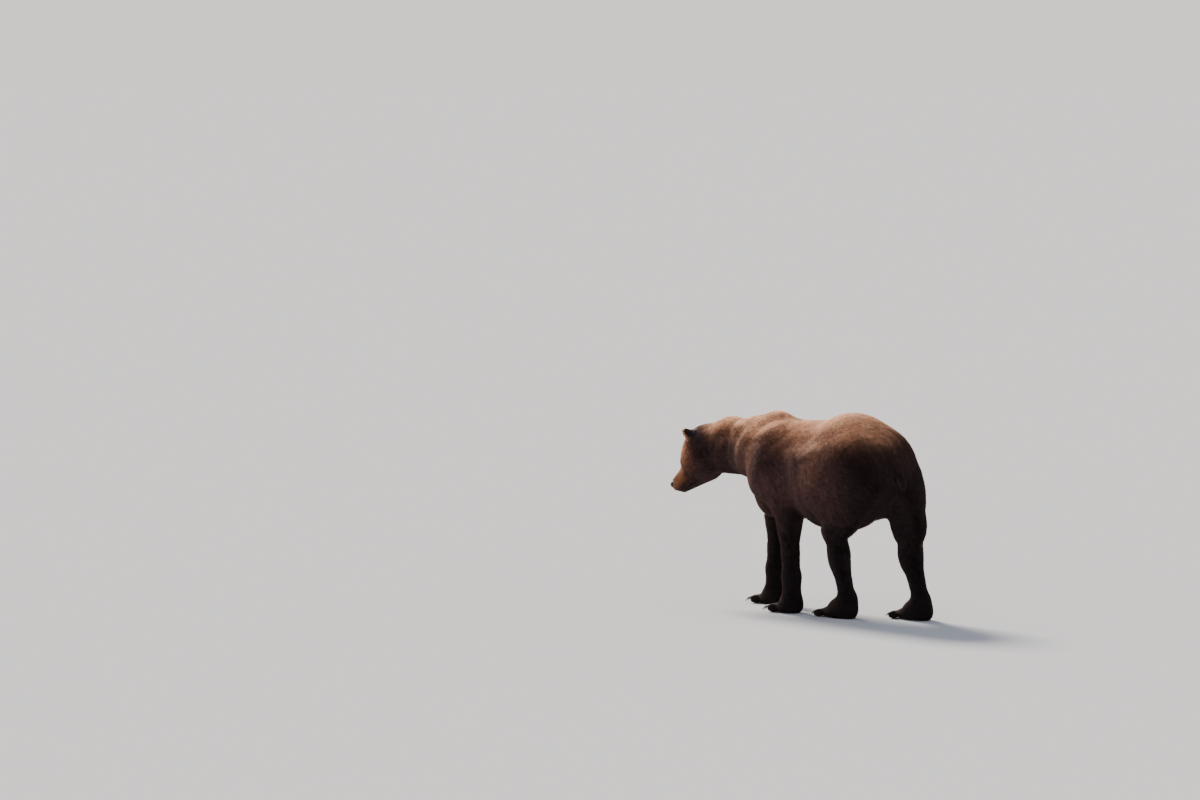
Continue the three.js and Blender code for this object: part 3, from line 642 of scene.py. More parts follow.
def body_colours(points, slope, streaks):
    z = points[:, 2] + 24 * wavy(points, 300, 3) + 8 * streaks
    # Golden where the coat faces up: partly the coat's own golden back, partly painted sunlight on the top.
    up = ramp(slope[:, 2] + 0.08 * wavy(points, 180, 5) + 0.03 * streaks, 0.0, 1.0)
    high = ramp(z, 820, 1090)
    colour = mix(RUSSET, GOLD, (up * ramp(z, 840, 1070) * 0.86 + 0.14 * high).clip(0, 1)[:, None])
    mane = ramp(points[:, 0], 330, 520) * ramp(z, 900, 1040) * 0.15
    # Painted highlights in gold: a stripe down the front of the shoulder and a patch over the loin.
    blade = np.exp(-(((points[:, 0] - 440) / 46) ** 2)) * ramp(z, 700, 800) * (1 - ramp(z, 940, 1000)) * 0.2
    loin_highlight = np.exp(-(((points[:, 0] + 150) / 100) ** 2) - ((z - 900) / 110) ** 2) * 0.22
    colour = mix(colour, GOLD, (mane + blade + loin_highlight)[:, None])
    low = 1 - ramp(z, 440, 820)
    # Dark haunches: the hind legs' own dark coat, carried up the rump as painted shade.
    haunch_dark_and_shade = ramp(-points[:, 0], 260, 520) * (1 - ramp(z, 975, 1125)) * 0.85
    # Painted shade on the faces that look down.
    underside_shade = ramp(-slope[:, 2], 0.1, 0.8) * 0.6
    # Painted shade on the lower neck and the throat.
    throat_and_neck_shade = ramp(points[:, 0], 580, 700) * (1 - ramp(z, 900, 1020)) * 0.5
    shade = 1 - (1 - low) * (1 - haunch_dark_and_shade) * (1 - underside_shade) * (1 - throat_and_neck_shade)
    return mix(colour, DARK, shade[:, None])


SHADE_LINE_START, SHADE_LINE_RUN = np.array([95, 30]), np.array([14, -58])  # along the head and up


# How far points are from a line of painted shade from the eye's corner down the muzzle's side.
def shade_line_distance(head):
    off = head[:, [0, 2]] - SHADE_LINE_START
    t = np.clip(off @ SHADE_LINE_RUN / (SHADE_LINE_RUN @ SHADE_LINE_RUN), 0, 1)
    return np.linalg.norm(off - t[:, None] * SHADE_LINE_RUN, axis=1)


def face_colours(points, slope):
    head = on_head(points)
    side = np.abs(head[:, 1])
    # The forehead paler where it looks up: partly its own pale fur, partly painted sunlight.
    pale_and_sunlit_crown = ramp(slope @ HEAD_PLACE[1][:, 2], -0.4, 0.7)
    face = mix(RUSSET, PALE, (pale_and_sunlit_crown * ramp(head[:, 0], -60, 40))[:, None])
    face = mix(face, PALE * 0.85, (ramp(head[:, 0], 110, 190) * ramp(head[:, 2], -70, -30))[:, None])
    # Painted shade under the jaw.
    face = mix(face, DARK * 1.6, (ramp(-head[:, 2], 40, 95) * 0.7)[:, None])
    # Painted shade on the back of the cheeks and behind the ears.
    cheek_shade = ramp(side, 66, 104) * ramp(-head[:, 0], -30, 50) * 0.5
    behind_ear_shade = np.exp(-(((head[:, 0] + 92) / 52) ** 2) - ((head[:, 2] - 52) / 46) ** 2) * ramp(side, 30, 70)
    face = mix(face, DARK * 1.4, np.maximum(cheek_shade, behind_ear_shade * 0.85)[:, None])
    rim = ramp(-near_eyes(points), -25, -14) * 0.8
    # Painted shade in a line from the eye's corner down the muzzle's side.
    muzzle_shade_line = ramp(-shade_line_distance(head), -9, -2) * ramp(side, 24, 34) * 0.7
    face = mix(face, DARK, np.maximum(rim, muzzle_shade_line)[:, None])
    # Ears golden in front, partly painted sunlight on the rim's fur, and dark behind as painted shade.
    ear_at, ear_way = (np.array([place[i] for place in EARS])[ear_near(points)] for i in (0, 1))
    back = ramp(-((points - ear_at) * ear_way[:, :, 0]).sum(axis=1), -2, 10)
    return mix(face, mix(GOLD * 0.75, DARK * 1.5, back[:, None]), earness(points)[:, None])


def markings(points, slope):
    streaks = wavy(points * [1, 1, 0.2], 42, 9)
    part = headness(points)
    colour = mix(body_colours(points, slope, streaks), face_colours(points, slope), part[:, None])
    return colour * (1 + 0.05 * wavy(points, 120, 8) + 0.08 * streaks * (1 - 0.6 * part))[:, None]


# Bare dark skin: the rims of the lids, the lips, the skin under and below the nose, and the soles.
def bareness(points):
    head = on_head(points)
    lids = [ramp(-lid_level(eye, points), -3.4, -1.6) for eye in EYES]
    lips = ramp(-string_distance(BETWEEN_LIPS, 4.2, points), -2.2, 0)
    groove = ramp(head[:, 0], NOSE_X - 30, NOSE_X - 20) * ramp(-np.abs(head[:, 1]), -5, -1)
    groove *= ramp(-head[:, 2], 20, 28) * ramp(head[:, 2], -58, -50)
    pad = ramp(-field(NOSE_FORMS, points), -5, -1)
    soles = ramp(-points[:, 2], -13, -8)
    return np.max([*lids, lips, groove * headness(points), pad, soles], axis=0)


def paint(mesh, name, colours):
    layer = mesh.color_attributes.new(name, "FLOAT_COLOR", "POINT")
    rows = np.hstack([colours, np.ones((len(colours), 1))]).astype(np.float32)
    layer.data.foreach_set("color", rows.ravel())


def gauge(mesh, name, values):
    layer = mesh.attributes.new(name, "FLOAT", "POINT")
    layer.data.foreach_set("value", np.asarray(values, np.float32))


paint(skin_mesh, "fur", markings(skin_points, skin_slope).clip(0.004, 1))
gauge(skin_mesh, "bare", bareness(skin_points))


def node(tree, kind, **inputs):
    made = tree.nodes.new(kind)
    for key, value in inputs.items():
        made.inputs[key.replace("_", " ")].default_value = value
    return made


# The shader's view of a colour or a gauge that a mesh carries.
def read_layer(tree, name):
    made = tree.nodes.new("ShaderNodeAttribute")
    made.attribute_name = name
    return made


def add_bump(tree, shader, height, strength, depth, invert=False):
    bump = node(tree, "ShaderNodeBump", Strength=strength, Distance=depth)
    bump.invert = invert
    tree.links.new(height, bump.inputs["Height"])
    tree.links.new(bump.outputs["Normal"], shader.inputs["Normal"])


def finish_of(name, roughness, **sockets):
    material = bpy.data.materials.new(name)
    material.use_nodes = True
    shader = material.node_tree.nodes["Principled BSDF"]
    shader.inputs["Roughness"].default_value = roughness
    for key, value in sockets.items():
        shader.inputs[key.replace("_", " ")].default_value = value
    return material, material.node_tree, shader


def mixed(tree, mode, factor, a, b):
    made = tree.nodes.new("ShaderNodeMix")
    made.data_type = "RGBA"
    made.blend_type = mode
    for socket, value in ((made.inputs[0], factor), (made.inputs[6], a), (made.inputs[7], b)):
        if isinstance(value, bpy.types.NodeSocket):
            tree.links.new(value, socket)
        else:
            socket.default_value = value
    return made.outputs[2]


BARE_SKIN = (0.018, 0.013, 0.012, 1)
skin_finish, tree, shader = finish_of("underfur and skin", 0.8, Specular_IOR_Level=0.25)
fur = read_layer(tree, "fur")
bare = read_layer(tree, "bare")
place = tree.nodes.new("ShaderNodeTexCoord")
grain = node(tree, "ShaderNodeTexNoise", Scale=420.0, Detail=4.0, Roughness=0.6)
tree.links.new(place.outputs["Object"], grain.inputs["Vector"])
speck = node(tree, "ShaderNodeMapRange", From_Min=0.3, From_Max=0.7, To_Min=0.45, To_Max=1.0)
tree.links.new(grain.outputs["Fac"], speck.inputs["Value"])
hairy = mixed(tree, "MULTIPLY", 1.0, fur.outputs["Color"], speck.outputs["Result"])
hide_colour = mixed(tree, "MIX", bare.outputs["Fac"], hairy, BARE_SKIN)
tree.links.new(hide_colour, shader.inputs["Base Color"])
add_bump(tree, shader, grain.outputs["Fac"], 0.5, 0.0012)


def add_piece(name, mesh, finish, slot, *nodes):
    piece = bpy.data.objects.new(name, mesh)
    bpy.context.scene.collection.objects.link(piece)
    mesh.materials.append(finish)
    mesh.shade_smooth()
    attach(piece, "root")
    if nodes:
        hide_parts(*nodes)


FLESH = ["head", "neck", "chest", "belly", "rump", "tail"]
for side_name in ("left", "right"):
    FLESH += [f"{side_name}_{part}" for part in ("ear", "shoulder", "forearm", "forepaw")]
    FLESH += [f"{side_name}_{part}" for part in ("thigh", "shank", "hindpaw")]
skin_mesh.update()
add_piece("skin", skin_mesh, skin_finish, "skin", *FLESH)

# ---- Coat ---------------------------------------------------------------------------------------
# The fur over the skin, in slender tufts with sharp tips. Each tuft rises from the skin and lies back along
# the body, gathered with its neighbours into locks; longest over the trunk, shortest on the face and feet.

face_corners = skin_points[skin_faces]
face_areas = np.linalg.norm(
    np.cross(face_corners[:, 1] - face_corners[:, 0], face_corners[:, 2] - face_corners[:, 0]), axis=1
)
face_middles = face_corners.mean(axis=1)
face_bareness = bareness(face_middles)

# Tufts in each piece of the coat. A tuft has four triangles.
HEAD_TUFTS = 49700
TRUNK_TUFTS = 39000  # in each of its pieces
FORELEG_TUFTS = 40000
HINDLEG_TUFTS = 45000
TUFTS_IN_LOCK = 14


# The length of the tufts and their width, in millimetres.
def tuft_length(points):
    head = on_head(points)
    length = mix(19.0, 42.0, ramp(points[:, 2], 200, 640))
    length = mix(10.0, length, ramp(points[:, 2], 60, 190))
    length += 8 * ramp(points[:, 2], 950, 1060) * ramp(points[:, 0], 260, 380) + 8 * tailness(points)
    face = np.interp(head[:, 0], [-120, -20, 60, 130, 240], [36, 25, 15, 9, 5])
    face = mix(face, 5.0, ramp(-near_eyes(points), -40, -22))
    length = mix(length, face, headness(points))
    return mix(length, 17.0, earness(points))


def tuft_width(length):
    return np.interp(length, [5, 15, 30, 50], [0.75, 1.35, 2.2, 2.9])


# The way the coat lies: back from the nose to the tail, down the flanks and legs, forward over the toes,
# and out to the rims of the ears.
def lie(points, slope):
    z = points[:, 2]
    steep = 1 - np.abs(slope[:, 2])
    way = np.tile([-1.0, 0.0, -0.18], (len(points), 1))
    way[:, 2] -= 0.6 * steep
    down = ramp(-z, -700, -420)
    chest = ramp(points[:, 0], 470, 620) * ramp(-z, -860, -700)
    way = mix(way, np.array([-0.22, 0, -1.0]), np.maximum(down, chest)[:, None])
    rear = ramp(-points[:, 0], 480, 640)
    way = mix(way, np.array([-0.25, 0, -1.0]), (rear * 0.8)[:, None])
    foot = ramp(-z, -120, -70)
    way = mix(way, np.array([1.0, 0, -0.45]), foot[:, None])
    head = on_head(points)
    back = np.tile([-1.0, 0.0, 0.1], (len(points), 1))
    back[:, 2] -= 0.9 * ramp(np.abs(head[:, 1]), 30, 100) * ramp(-head[:, 0], -110, 0)
    back[:, 1] += 0.4 * np.sign(head[:, 1]) * ramp(np.abs(head[:, 1]), 4, 40) * ramp(head[:, 0], 0, 80)
    way = mix(way, back @ HEAD_PLACE[1].T, headness(points)[:, None])
    roots = np.array([at - turn[:, 2] * 50 for at, turn in EARS])[ear_near(points)]
    return mix(way, unit(points - roots), earness(points)[:, None])


def turned_about(vectors, axes, angles):
    c, s = np.cos(angles)[:, None], np.sin(angles)[:, None]
    return vectors * c + np.cross(axes, vectors) * s


# Roots scattered over the chosen part of the skin, closer together where the tufts are smaller.
def scattered(draw, number, where):
    size = tuft_length(face_middles)
    weight = face_areas * where(face_middles) * (face_bareness < 0.5) / (size * tuft_width(size)) ** 0.9
    picked = skin_faces[draw.choice(len(skin_faces), size=number, p=weight / weight.sum())]
    share = draw.random((number, 2))
    share[share.sum(axis=1) > 1] = 1 - share[share.sum(axis=1) > 1]
    share = np.column_stack([1 - share.sum(axis=1), share])[:, :, None]
    return (skin_points[picked] * share).sum(axis=1), unit((skin_slope[picked] * share).sum(axis=1))


# The way of each tuft, pressed flat along the skin and swirled a little. The tail's stay more upright.
def combed(draw, roots, slope):
    way = lie(roots, slope)
    pressed = (way * slope).sum(axis=1) * (1 - 0.8 * tailness(roots))
    way = unit(way - slope * pressed[:, None])
    swirl = 0.17 * wavy(roots, 260, 11) + 0.07 * wavy(roots, 60, 12) + draw.normal(0, 0.09, len(roots))
    return turned_about(way, slope, swirl)


# For each tuft, the middle tuft of the nearest lock.
def lock_of(draw, roots):
    middles = draw.choice(len(roots), size=len(roots) // TUFTS_IN_LOCK, replace=False)
    lock_tree = kdtree.KDTree(len(middles))
    for i, root in enumerate(roots[middles]):
        lock_tree.insert(root, i)
    lock_tree.balance()
    return middles[[lock_tree.find(root)[1] for root in roots]]


# Each tuft's four corners: left and right at the root, the ridge half way along, and the tip.
TUFT_FACES = np.array([[0, 1, 2], [1, 3, 2], [0, 2, 3], [0, 3, 1]])
TUFT_PATCH = np.array([[-1, -1], [1, -1], [0, 0.1], [0, 1]]) * 0.0015  # on the unwrap
ROOT_DEPTH = 1.5  # how deep the roots are set in the skin
RIDGE_SHARE = 0.45  # of the way from root to tip
LOWEST_TIP, LOWEST_RIDGE = 1.5, 2.0  # over the floor

coat_finish, tree, shader = finish_of("coat", 0.66, Specular_IOR_Level=0.1)
shader.inputs["Specular Tint"].default_value = (1, 0.72, 0.5, 1)
shader.inputs["Sheen Weight"].default_value = 0.08
shader.inputs["Sheen Roughness"].default_value = 0.5
shader.inputs["Sheen Tint"].default_value = (0.9, 0.6, 0.4, 1)
tree.links.new(read_layer(tree, "fur").outputs["Color"], shader.inputs["Base Color"])


def mesh_of(name, points, faces):
    mesh = bpy.data.meshes.new(name)
    mesh.vertices.add(len(points))
    mesh.vertices.foreach_set("co", to_frame(points).astype(np.float32).ravel())
    mesh.loops.add(faces.size)
    mesh.loops.foreach_set("vertex_index", faces.astype(np.int32).ravel())
    mesh.polygons.add(len(faces))
    mesh.polygons.foreach_set("loop_start", np.arange(0, faces.size, faces.shape[1], dtype=np.int32))
    mesh.update(calc_edges=True)
    return mesh


# One piece of the coat: tufts drawn over the chosen part of the skin, with their places on its unwrap.
def add_coat(name, slot, number, where, unwrap, seed):
    draw = np.random.default_rng(seed)
    roots, slope = scattered(draw, number, where)
    length = tuft_length(roots) * draw.uniform(0.7, 1.25, number)
    width = tuft_width(length) * draw.uniform(0.75, 1.25, number)
    depth = coat_depth(roots)
    way = combed(draw, roots, slope)

    # Neighbours lean together to the tip of the nearest lock's middle tuft.
    nearest = lock_of(draw, roots)
    lean = draw.uniform(0.1, 0.45, number)[:, None]
    straight = roots + way * length[:, None]
    tips = mix(straight, straight[nearest], lean)
    lift = depth * draw.uniform(0.74, 1.08, number) - hide(tips)
    held = 1 - 0.75 * np.maximum(earness(roots), tailness(roots))
    tips += slope * (lift.clip(-14, 14) * held)[:, None]
    tips[:, 2] = np.maximum(tips[:, 2], LOWEST_TIP)
    ridges = mix(roots, tips, RIDGE_SHARE) + slope * (depth * 0.24 + 0.8)[:, None]
    ridges[:, 2] = np.maximum(ridges[:, 2], LOWEST_RIDGE)

    along = unit(tips - roots)
    across = unit(np.cross(along, slope)) * width[:, None] / 2
    base = roots - slope * ROOT_DEPTH
    points = np.stack([base - across, base + across, ridges, tips], axis=1).reshape(-1, 3)
    faces = (TUFT_FACES + 4 * np.arange(number)[:, None, None]).reshape(-1, 3)
    mesh = mesh_of(name, points, faces)

    # Each tuft and each lock is a little lighter or darker, dark at the roots and pale at the tips.
    tone = 1 + 0.12 * draw.normal(size=number).clip(-2, 2)
    tone += 0.18 * draw.normal(size=number).clip(-2, 2)[nearest]
    body = markings(roots, slope) * tone[:, None]
    tip = body * mix(1.15, 1.4, ramp(body.mean(axis=1), 0.03, 0.2)[:, None])
    tints = np.stack([body * 0.55, body * 0.55, body, tip], axis=1).reshape(-1, 3)
    paint(mesh, "fur", tints.clip(0.004, 1))
    corners = unwrap(roots).clip(0.004, 0.996)[:, None] + TUFT_PATCH
    uv = mesh.uv_layers.new(name="OFBake")
    uv.data.foreach_set("uv", corners.reshape(-1, 2)[faces.ravel()].astype(np.float32).ravel())
    add_piece(name, mesh, coat_finish, slot)

    # Shaded round like a lock, so that its flat sides don't show.
    spread = unit(across) * 0.5
    normals = np.stack([slope - spread, slope + spread, slope, slope + along * 0.3], axis=1)
    mesh.normals_split_custom_set_from_vertices(unit(normals).reshape(-1, 3))


TRUNK_AXIS = 800  # its height over the floor
LEG_TOP = 560  # the leg pieces of the coat reach up to here
LEG_SHEET = 640  # the height of leg that fills the sheet


# Unwraps: the turn round an axis across the sheet, and the way along it up the sheet.
def round_trunk(low_x, high_x):
    def unwrap(p):
        turn = np.arctan2(p[:, 1], p[:, 2] - TRUNK_AXIS) / (2 * math.pi) + 0.5
        return np.stack([turn, (p[:, 0] - low_x) / (high_x - low_x)], axis=1)

    return unwrap


def round_legs(legs, joints):
    def unwrap(p):
        out = np.zeros((len(p), 2))
        for i, leg in enumerate(legs.values()):
            mine = (p[:, 1] > 0) == (leg["side"] > 0)
            top, end = joints_of(leg, joints)
            t = np.clip((top[2] - p[mine, 2]) / (top[2] - end[2]), 0, 1)
            axis = mix(top, end, t[:, None])
            turn = np.arctan2(p[mine, 1] - axis[:, 1], p[mine, 0] - axis[:, 0]) / (2 * math.pi) + 0.5
            out[mine] = np.stack([(turn + i) / 2, p[mine, 2] / LEG_SHEET], axis=1)
        return out

    return unwrap


def round_head(p):
    head = on_head(p)
    turn = np.arctan2(head[:, 1], head[:, 2] + 20) / (2 * math.pi) + 0.5
    out = np.stack([turn, (head[:, 0] + 200) / 540], axis=1)
    for i, (at, ear) in enumerate(EARS):
        local = (p - at) @ ear
        mine = (earness(p) > 0.5) & (ear_near(p) == i)
        side = np.where(local[mine, 0] > 0, 0.25, 0) + i * 0.5
        out[mine] = np.stack([side + 0.125 + local[mine, 1] / 460, 0.93 + local[mine, 2] / 1100], axis=1)
    return out


def is_leg(p, front):
    return (p[:, 2] < LEG_TOP) & (headness(p) < 0.5) & ((p[:, 0] > 0) == front) & (np.abs(p[:, 1]) > 40)


def is_trunk(p, low_x, high_x):
    legs = is_leg(p, True) | is_leg(p, False)
    return ~legs & (headness(p) < 0.5) & (p[:, 0] >= low_x) & (p[:, 0] < high_x)


add_coat("coat_head", "face_coat", HEAD_TUFTS, lambda p: headness(p) >= 0.5, round_head, 21)
TRUNK_CUTS = [-900, -480, -260, -20, 220, 460, 1300]  # along the walk, from the tail to the nape
for i, (low_x, high_x) in enumerate(zip(TRUNK_CUTS[:-1], TRUNK_CUTS[1:])):
    add_coat(
        f"coat_trunk_{i + 1}",
        "body_coat",
        TRUNK_TUFTS,
        lambda p, a=low_x, b=high_x: is_trunk(p, a, b),
        round_trunk(low_x, high_x),
        31 + i,
    )
round_forelegs = round_legs(FORELEGS, ("elbow", "wrist"))
round_hindlegs = round_legs(HINDLEGS, ("knee", "heel"))
add_coat("coat_forelegs", "leg_coat", FORELEG_TUFTS, lambda p: is_leg(p, True), round_forelegs, 41)
add_coat("coat_hindlegs", "leg_coat", HINDLEG_TUFTS, lambda p: is_leg(p, False), round_hindlegs, 42)

# ---- Claws --------------------------------------------------------------------------------------
# Twenty horn claws, long and nearly straight in front and shorter behind, each grown from the end of its
# toe and hooked forward and down. Dark at the root, paler to the tip.

claw_finish, tree, shader = finish_of("horn", 0.38, Specular_IOR_Level=0.45)
tree.links.new(read_layer(tree, "fur").outputs["Color"], shader.inputs["Base Color"])

CLAW_STEPS = 12
CLAW_SIDES = 12
CLAW_TILT = (math.radians(-14), math.radians(62))  # down from level, at the root and at the tip
CLAW_THIN = 0.72  # how wide it is for its height
CLAW_KEEL = 0.18  # how far the ridge along its back stands up, as a share of the radius
CLAW_POINT = 0.6  # least radius, at the tip
CLAW_ROOT = np.array([0.035, 0.024, 0.018])
CLAW_TIP = np.array([0.3, 0.21, 0.13])


# The points, faces and colours of one claw: rings along an arc, closed at both ends.
def claw(at, fan, paw):
    root_tilt, tip_tilt = CLAW_TILT
    bend = paw["claw"] / (tip_tilt - root_tilt)
    turn = turned(yaw=fan)
    rings, tints = [], []
    for t in np.linspace(0, 1, CLAW_STEPS):
        tilt = mix(root_tilt, tip_tilt, t)
        forward = bend * (math.sin(tilt) - math.sin(root_tilt))
        rise = bend * (math.cos(tilt) - math.cos(root_tilt))
        middle = at + turn @ np.array([paw["toe"] * 0.5 + forward, 0, paw["toe"] * 0.34 + rise])
        up = turn @ np.array([math.sin(tilt), 0, math.cos(tilt)])
        side = turn @ np.array([0, 1.0, 0])
        radius = max(CLAW_POINT, paw["claw_radius"] * math.sqrt(1 - t * 0.98))
        for s in range(CLAW_SIDES):
            angle = 2 * math.pi * s / CLAW_SIDES
            keel = 1 + CLAW_KEEL * max(0, math.sin(angle)) ** 4
            outward = side * math.cos(angle) * CLAW_THIN + up * math.sin(angle) * keel
            rings.append(middle + outward * radius)
            tints.append(mix(CLAW_ROOT, CLAW_TIP, ramp(t, 0.25, 1.0)))
    faces = []
    for i in range(CLAW_STEPS - 1):
        for s in range(CLAW_SIDES):
            a, b = i * CLAW_SIDES + s, i * CLAW_SIDES + (s + 1) % CLAW_SIDES
            faces += [[a, b, b + CLAW_SIDES], [a, b + CLAW_SIDES, a + CLAW_SIDES]]
    last = (CLAW_STEPS - 1) * CLAW_SIDES
    for s in range(1, CLAW_SIDES - 1):
        faces += [[0, s + 1, s], [last, last + s, last + s + 1]]
    return np.array(rings), np.array(faces), np.array(tints)


for legs, paw, end in ((FORELEGS, FORE_PAW, "fore"), (HINDLEGS, HIND_PAW, "hind")):
    for side_name, leg in legs.items():
        made = [claw(at, fan, paw) for at, fan in toes_of(leg, paw)]
        each = len(made[0][0])
        mesh = mesh_of(
            f"{side_name}_{end}_claws",
            np.concatenate([m[0] for m in made]),
            np.concatenate([m[1] + each * i for i, m in enumerate(made)]),
        )
        paint(mesh, "fur", np.concatenate([m[2] for m in made]))
        add_piece(mesh.name, mesh, claw_finish, "claw")

# ---- Nose ---------------------------------------------------------------------------------------
# The bare pad over the end of the muzzle: moist, finely cobbled skin with two comma-shaped nostrils that
# run out to the sides, and a groove down to the lip.

NOSE_HOLES = []
for side in SIDES:
    NOSE_HOLES += carried(
        NOSE_PLACE,
        [
            ball([19, side * 14, 0], [12, 5.6, 7.6], 6, yaw=side * 34, pitch=-8),  # round hole
            bone([16, side * 19, -2], [8, side * 25.5, 0], 3.4, 2.4, 5),  # slit out to the side
            bone([8, side * 25.5, 0], [0, side * 28, 5], 2.2, 1.2, 5),  # its end, back and up
        ],
    )
NOSE_GROOVE = carried(
    NOSE_PLACE,
    [bone([26, 0, 4], [26, 0, -10], 0.4, 1.0), bone([26, 0, -10], [20, 0, -30], 1.0, 1.8)],
)


def nose_level(points):
    level = field(NOSE_FORMS, points)
    level = carve(level, field(NOSE_HOLES, points), 3)
    return carve(level, field(NOSE_GROOVE, points), 2.4)


NOSE_CELL = 1.3
NOSE_ROOM = 48  # round the nose's middle, each way
nose_low = NOSE_PLACE[0] - NOSE_ROOM
nose_points, nose_quads = netted(nose_level, nose_low, nose_low + 2 * NOSE_ROOM, NOSE_CELL)
nose_points = settled(nose_level, nose_points, 0.7)
nose_mesh = mesh_of("nose_pad", nose_points, nose_quads)
gauge(nose_mesh, "deep", ramp(-field(NOSE_HOLES, nose_points), -1.5, 0.5))
nose_finish, tree, shader = finish_of("nose skin", 0.4, Specular_IOR_Level=0.4)
place = tree.nodes.new("ShaderNodeTexCoord")
cobble = node(tree, "ShaderNodeTexVoronoi", Scale=620.0)
tree.links.new(place.outputs["Object"], cobble.inputs["Vector"])
deep = read_layer(tree, "deep")
# Painted shade: darker in the creases between the cobbles, and nearly black down inside the nostrils.
PAD, COBBLE_CREASE_SHADE = (0.019, 0.0145, 0.014, 1), (0.007, 0.0055, 0.0055, 1)
NOSTRIL_SHADE = (0.004, 0.003, 0.003, 1)
pad_colour = mixed(tree, "MIX", cobble.outputs["Distance"], PAD, COBBLE_CREASE_SHADE)
nose_colour = mixed(tree, "MIX", deep.outputs["Fac"], pad_colour, NOSTRIL_SHADE)
tree.links.new(nose_colour, shader.inputs["Base Color"])
add_bump(tree, shader, cobble.outputs["Distance"], 0.45, 0.0006, invert=True)
add_piece("nose_pad", nose_mesh, nose_finish, "nose_skin", "nose")

# ---- Eyes ---------------------------------------------------------------------------------------
# Two small round eyes under the lids: dark brown iris, round black pupil and a wet, clear front that stands
# a little proud of the ball.

eye_finish, tree, shader = finish_of("eye", 0.05, Specular_IOR_Level=0.26)
off_axis = read_layer(tree, "off_axis")
iris = tree.nodes.new("ShaderNodeValToRGB")
iris.color_ramp.elements[0].position = 0.34
iris.color_ramp.elements[0].color = (0.002, 0.002, 0.002, 1)  # pupil
iris.color_ramp.elements[1].position = 1.0
iris.color_ramp.elements[1].color = (0.012, 0.008, 0.006, 1)
for position, colour in (
    (0.39, (0.02, 0.009, 0.0045, 1)),  # inner edge of the iris
    (0.58, (0.034, 0.015, 0.007, 1)),
    (0.68, (0.01, 0.006, 0.004, 1)),  # its dark rim
    (0.8, (0.022, 0.014, 0.011, 1)),  # white of the eye, brown in a bear
):
    iris.color_ramp.elements.new(position).color = colour
tree.links.new(off_axis.outputs["Fac"], iris.inputs["Fac"])
tree.links.new(iris.outputs["Color"], shader.inputs["Base Color"])

CORNEA_RISE = 0.9
CORNEA_FOOT, CORNEA_TOP = 0.62, 0.2  # shares of the ball's radius between which the clear front rises


# Blender makes a ball's faces in a new order each time. This puts them from the back of the eye to its
# front, and round each ring.
def ring_order(face):
    middle = face.calc_center_median()
    return 1000 * middle.z + math.atan2(middle.y, middle.x)


for side_name, eye in zip(("left", "right"), EYES):
    form = bmesh.new()
    bmesh.ops.create_uvsphere(form, u_segments=48, v_segments=32, radius=EYE_RADIUS)
    form.faces.sort(key=ring_order)
    local = np.array([v.co for v in form.verts])
    off = np.hypot(local[:, 0], local[:, 1]) / EYE_RADIUS
    local_rise = (local[:, 2] > 0) * ramp(-off, -CORNEA_FOOT, -CORNEA_TOP) * CORNEA_RISE
    axes = np.stack([eye["along"], np.cross(eye["way"], eye["along"]), eye["way"]], axis=1)
    placed = (local + np.array([0, 0, 1.0]) * local_rise[:, None]) @ axes.T + eye["at"]
    for vertex, point in zip(form.verts, to_frame(placed)):
        vertex.co = point
    mesh = bpy.data.meshes.new(f"{side_name}_eyeball")
    form.to_mesh(mesh)
    form.free()
    gauge(mesh, "off_axis", np.where(local[:, 2] > 0, off, 1))
    add_piece(mesh.name, mesh, eye_finish, "eye", f"{side_name}_eye")

# ---- Floor, light and camera --------------------------------------------------------------------
# A pale plain floor that runs out of sight into an even backdrop, a soft key from high in front, a weak kick
# from low in front on the left, a weaker fill from behind on the left, and the view from the rear left.

FLOOR = 3000.0
floor_corners = [(-FLOOR, -FLOOR, 0), (FLOOR, -FLOOR, 0), (FLOOR, FLOOR, 0), (-FLOOR, FLOOR, 0)]
floor_mesh = bpy.data.meshes.new("floor")
floor_mesh.from_pydata(floor_corners, [], [(0, 1, 2, 3)])
floor_finish, tree, shader = finish_of("floor", 1.0, Specular_IOR_Level=0.0)
shader.inputs["Base Color"].default_value = (0.66, 0.655, 0.645, 1)
floor_mesh.materials.append(floor_finish)
floor = bpy.data.objects.new("floor", floor_mesh)
bpy.context.scene.collection.objects.link(floor)


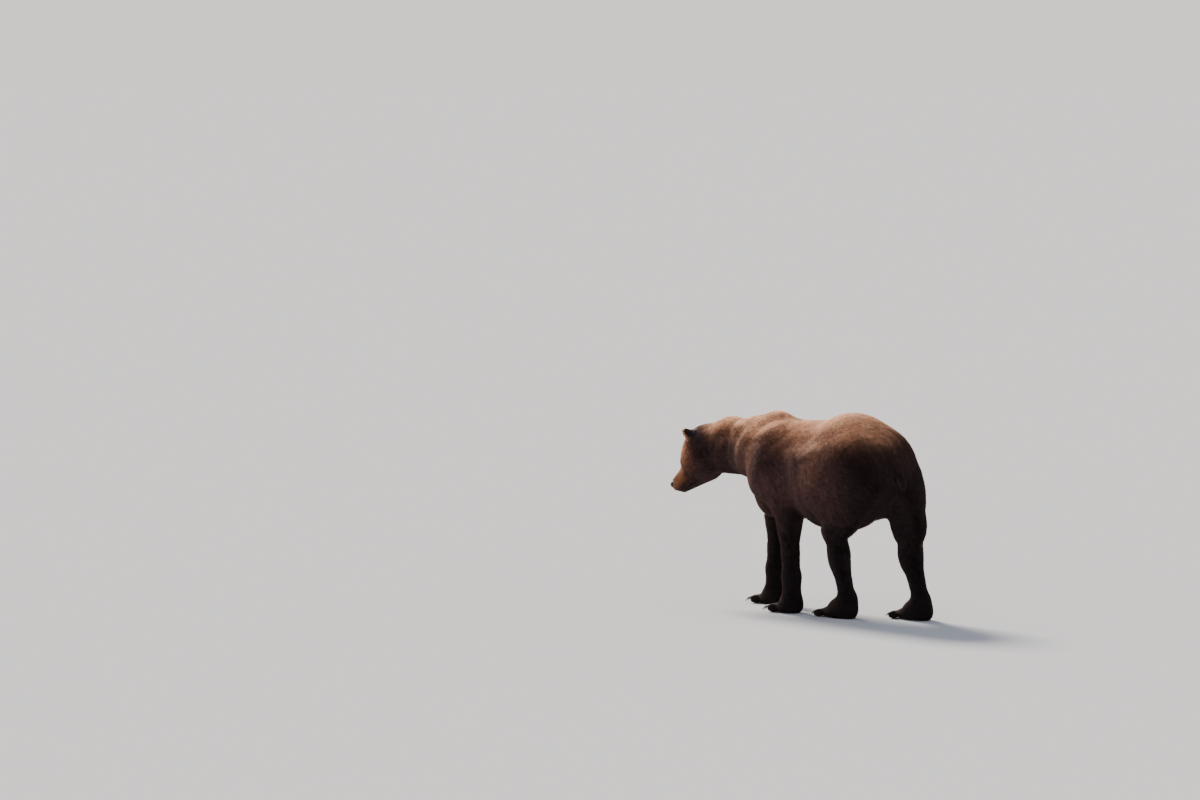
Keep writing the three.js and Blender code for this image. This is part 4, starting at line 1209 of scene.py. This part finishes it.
# A light from far off. Its rays run toward the given way, and spread is how wide it looks, in degrees.
def soft_sun(name, toward, strength, spread, colour):
    light = bpy.data.lights.new(name, "SUN")
    light.energy = strength
    light.angle = math.radians(spread)
    light.color = colour
    lamp = bpy.data.objects.new(name, light)
    bpy.context.scene.collection.objects.link(lamp)
    lamp.rotation_euler = Vector(toward).to_track_quat("-Z", "Y").to_euler()


soft_sun("key", (-0.8, 0.22, -0.6), 6.6, 16, (1, 0.93, 0.84))
soft_sun("kick", (-0.94, -0.28, -0.18), 1.0, 30, (1, 0.88, 0.76))
soft_sun("fill", (0.45, -0.8, -0.45), 0.3, 60, (0.9, 0.94, 1))

scene = bpy.context.scene
scene.world = bpy.data.worlds.new("studio")
scene.world.use_nodes = True
tree = scene.world.node_tree
way_out = tree.nodes.new("ShaderNodeTexCoord")
heights = tree.nodes.new("ShaderNodeSeparateXYZ")
tree.links.new(way_out.outputs["Generated"], heights.inputs[0])
above_floor = node(tree, "ShaderNodeMapRange", From_Min=0.02, From_Max=0.14)
tree.links.new(heights.outputs["Z"], above_floor.inputs["Value"])
HORIZON, SKY = (1.11, 1.08, 1.04, 1), (0.38, 0.42, 0.53, 1)
backdrop = mixed(tree, "MIX", above_floor.outputs["Result"], HORIZON, SKY)
tree.links.new(backdrop, tree.nodes["Background"].inputs["Color"])

AZIMUTH, ELEVATION = math.radians(230), math.radians(3.5)
RANGE = 30.0  # metres from the camera to the bear
LENS, SENSOR, PICTURE_WIDTH = 157.5, 36.0, 1200
flat_ahead = Vector((-math.sin(AZIMUTH), math.cos(AZIMUTH), 0)) * math.cos(ELEVATION)
ahead = flat_ahead - Vector((0, 0, math.sin(ELEVATION)))
right = ahead.cross(Vector((0, 0, 1))).normalized()
up = right.cross(ahead)
mark = Vector((-0.1083, 0.15, 0))  # a place on the floor under the belly
mark_right, mark_up = 190, -213  # pixels from the picture's middle to where it shows
pixel = SENSOR / LENS / PICTURE_WIDTH
camera = bpy.data.objects.new("camera", bpy.data.cameras.new("camera"))
scene.collection.objects.link(camera)
camera_at = mark - RANGE * (ahead + mark_right * pixel * right + mark_up * pixel * up)
camera.matrix_world = Matrix.Translation(camera_at) @ Matrix((right, up, -ahead)).transposed().to_4x4()
camera.data.lens = LENS
camera.data.sensor_width = SENSOR
camera.data.clip_end = 9000
scene.camera = camera
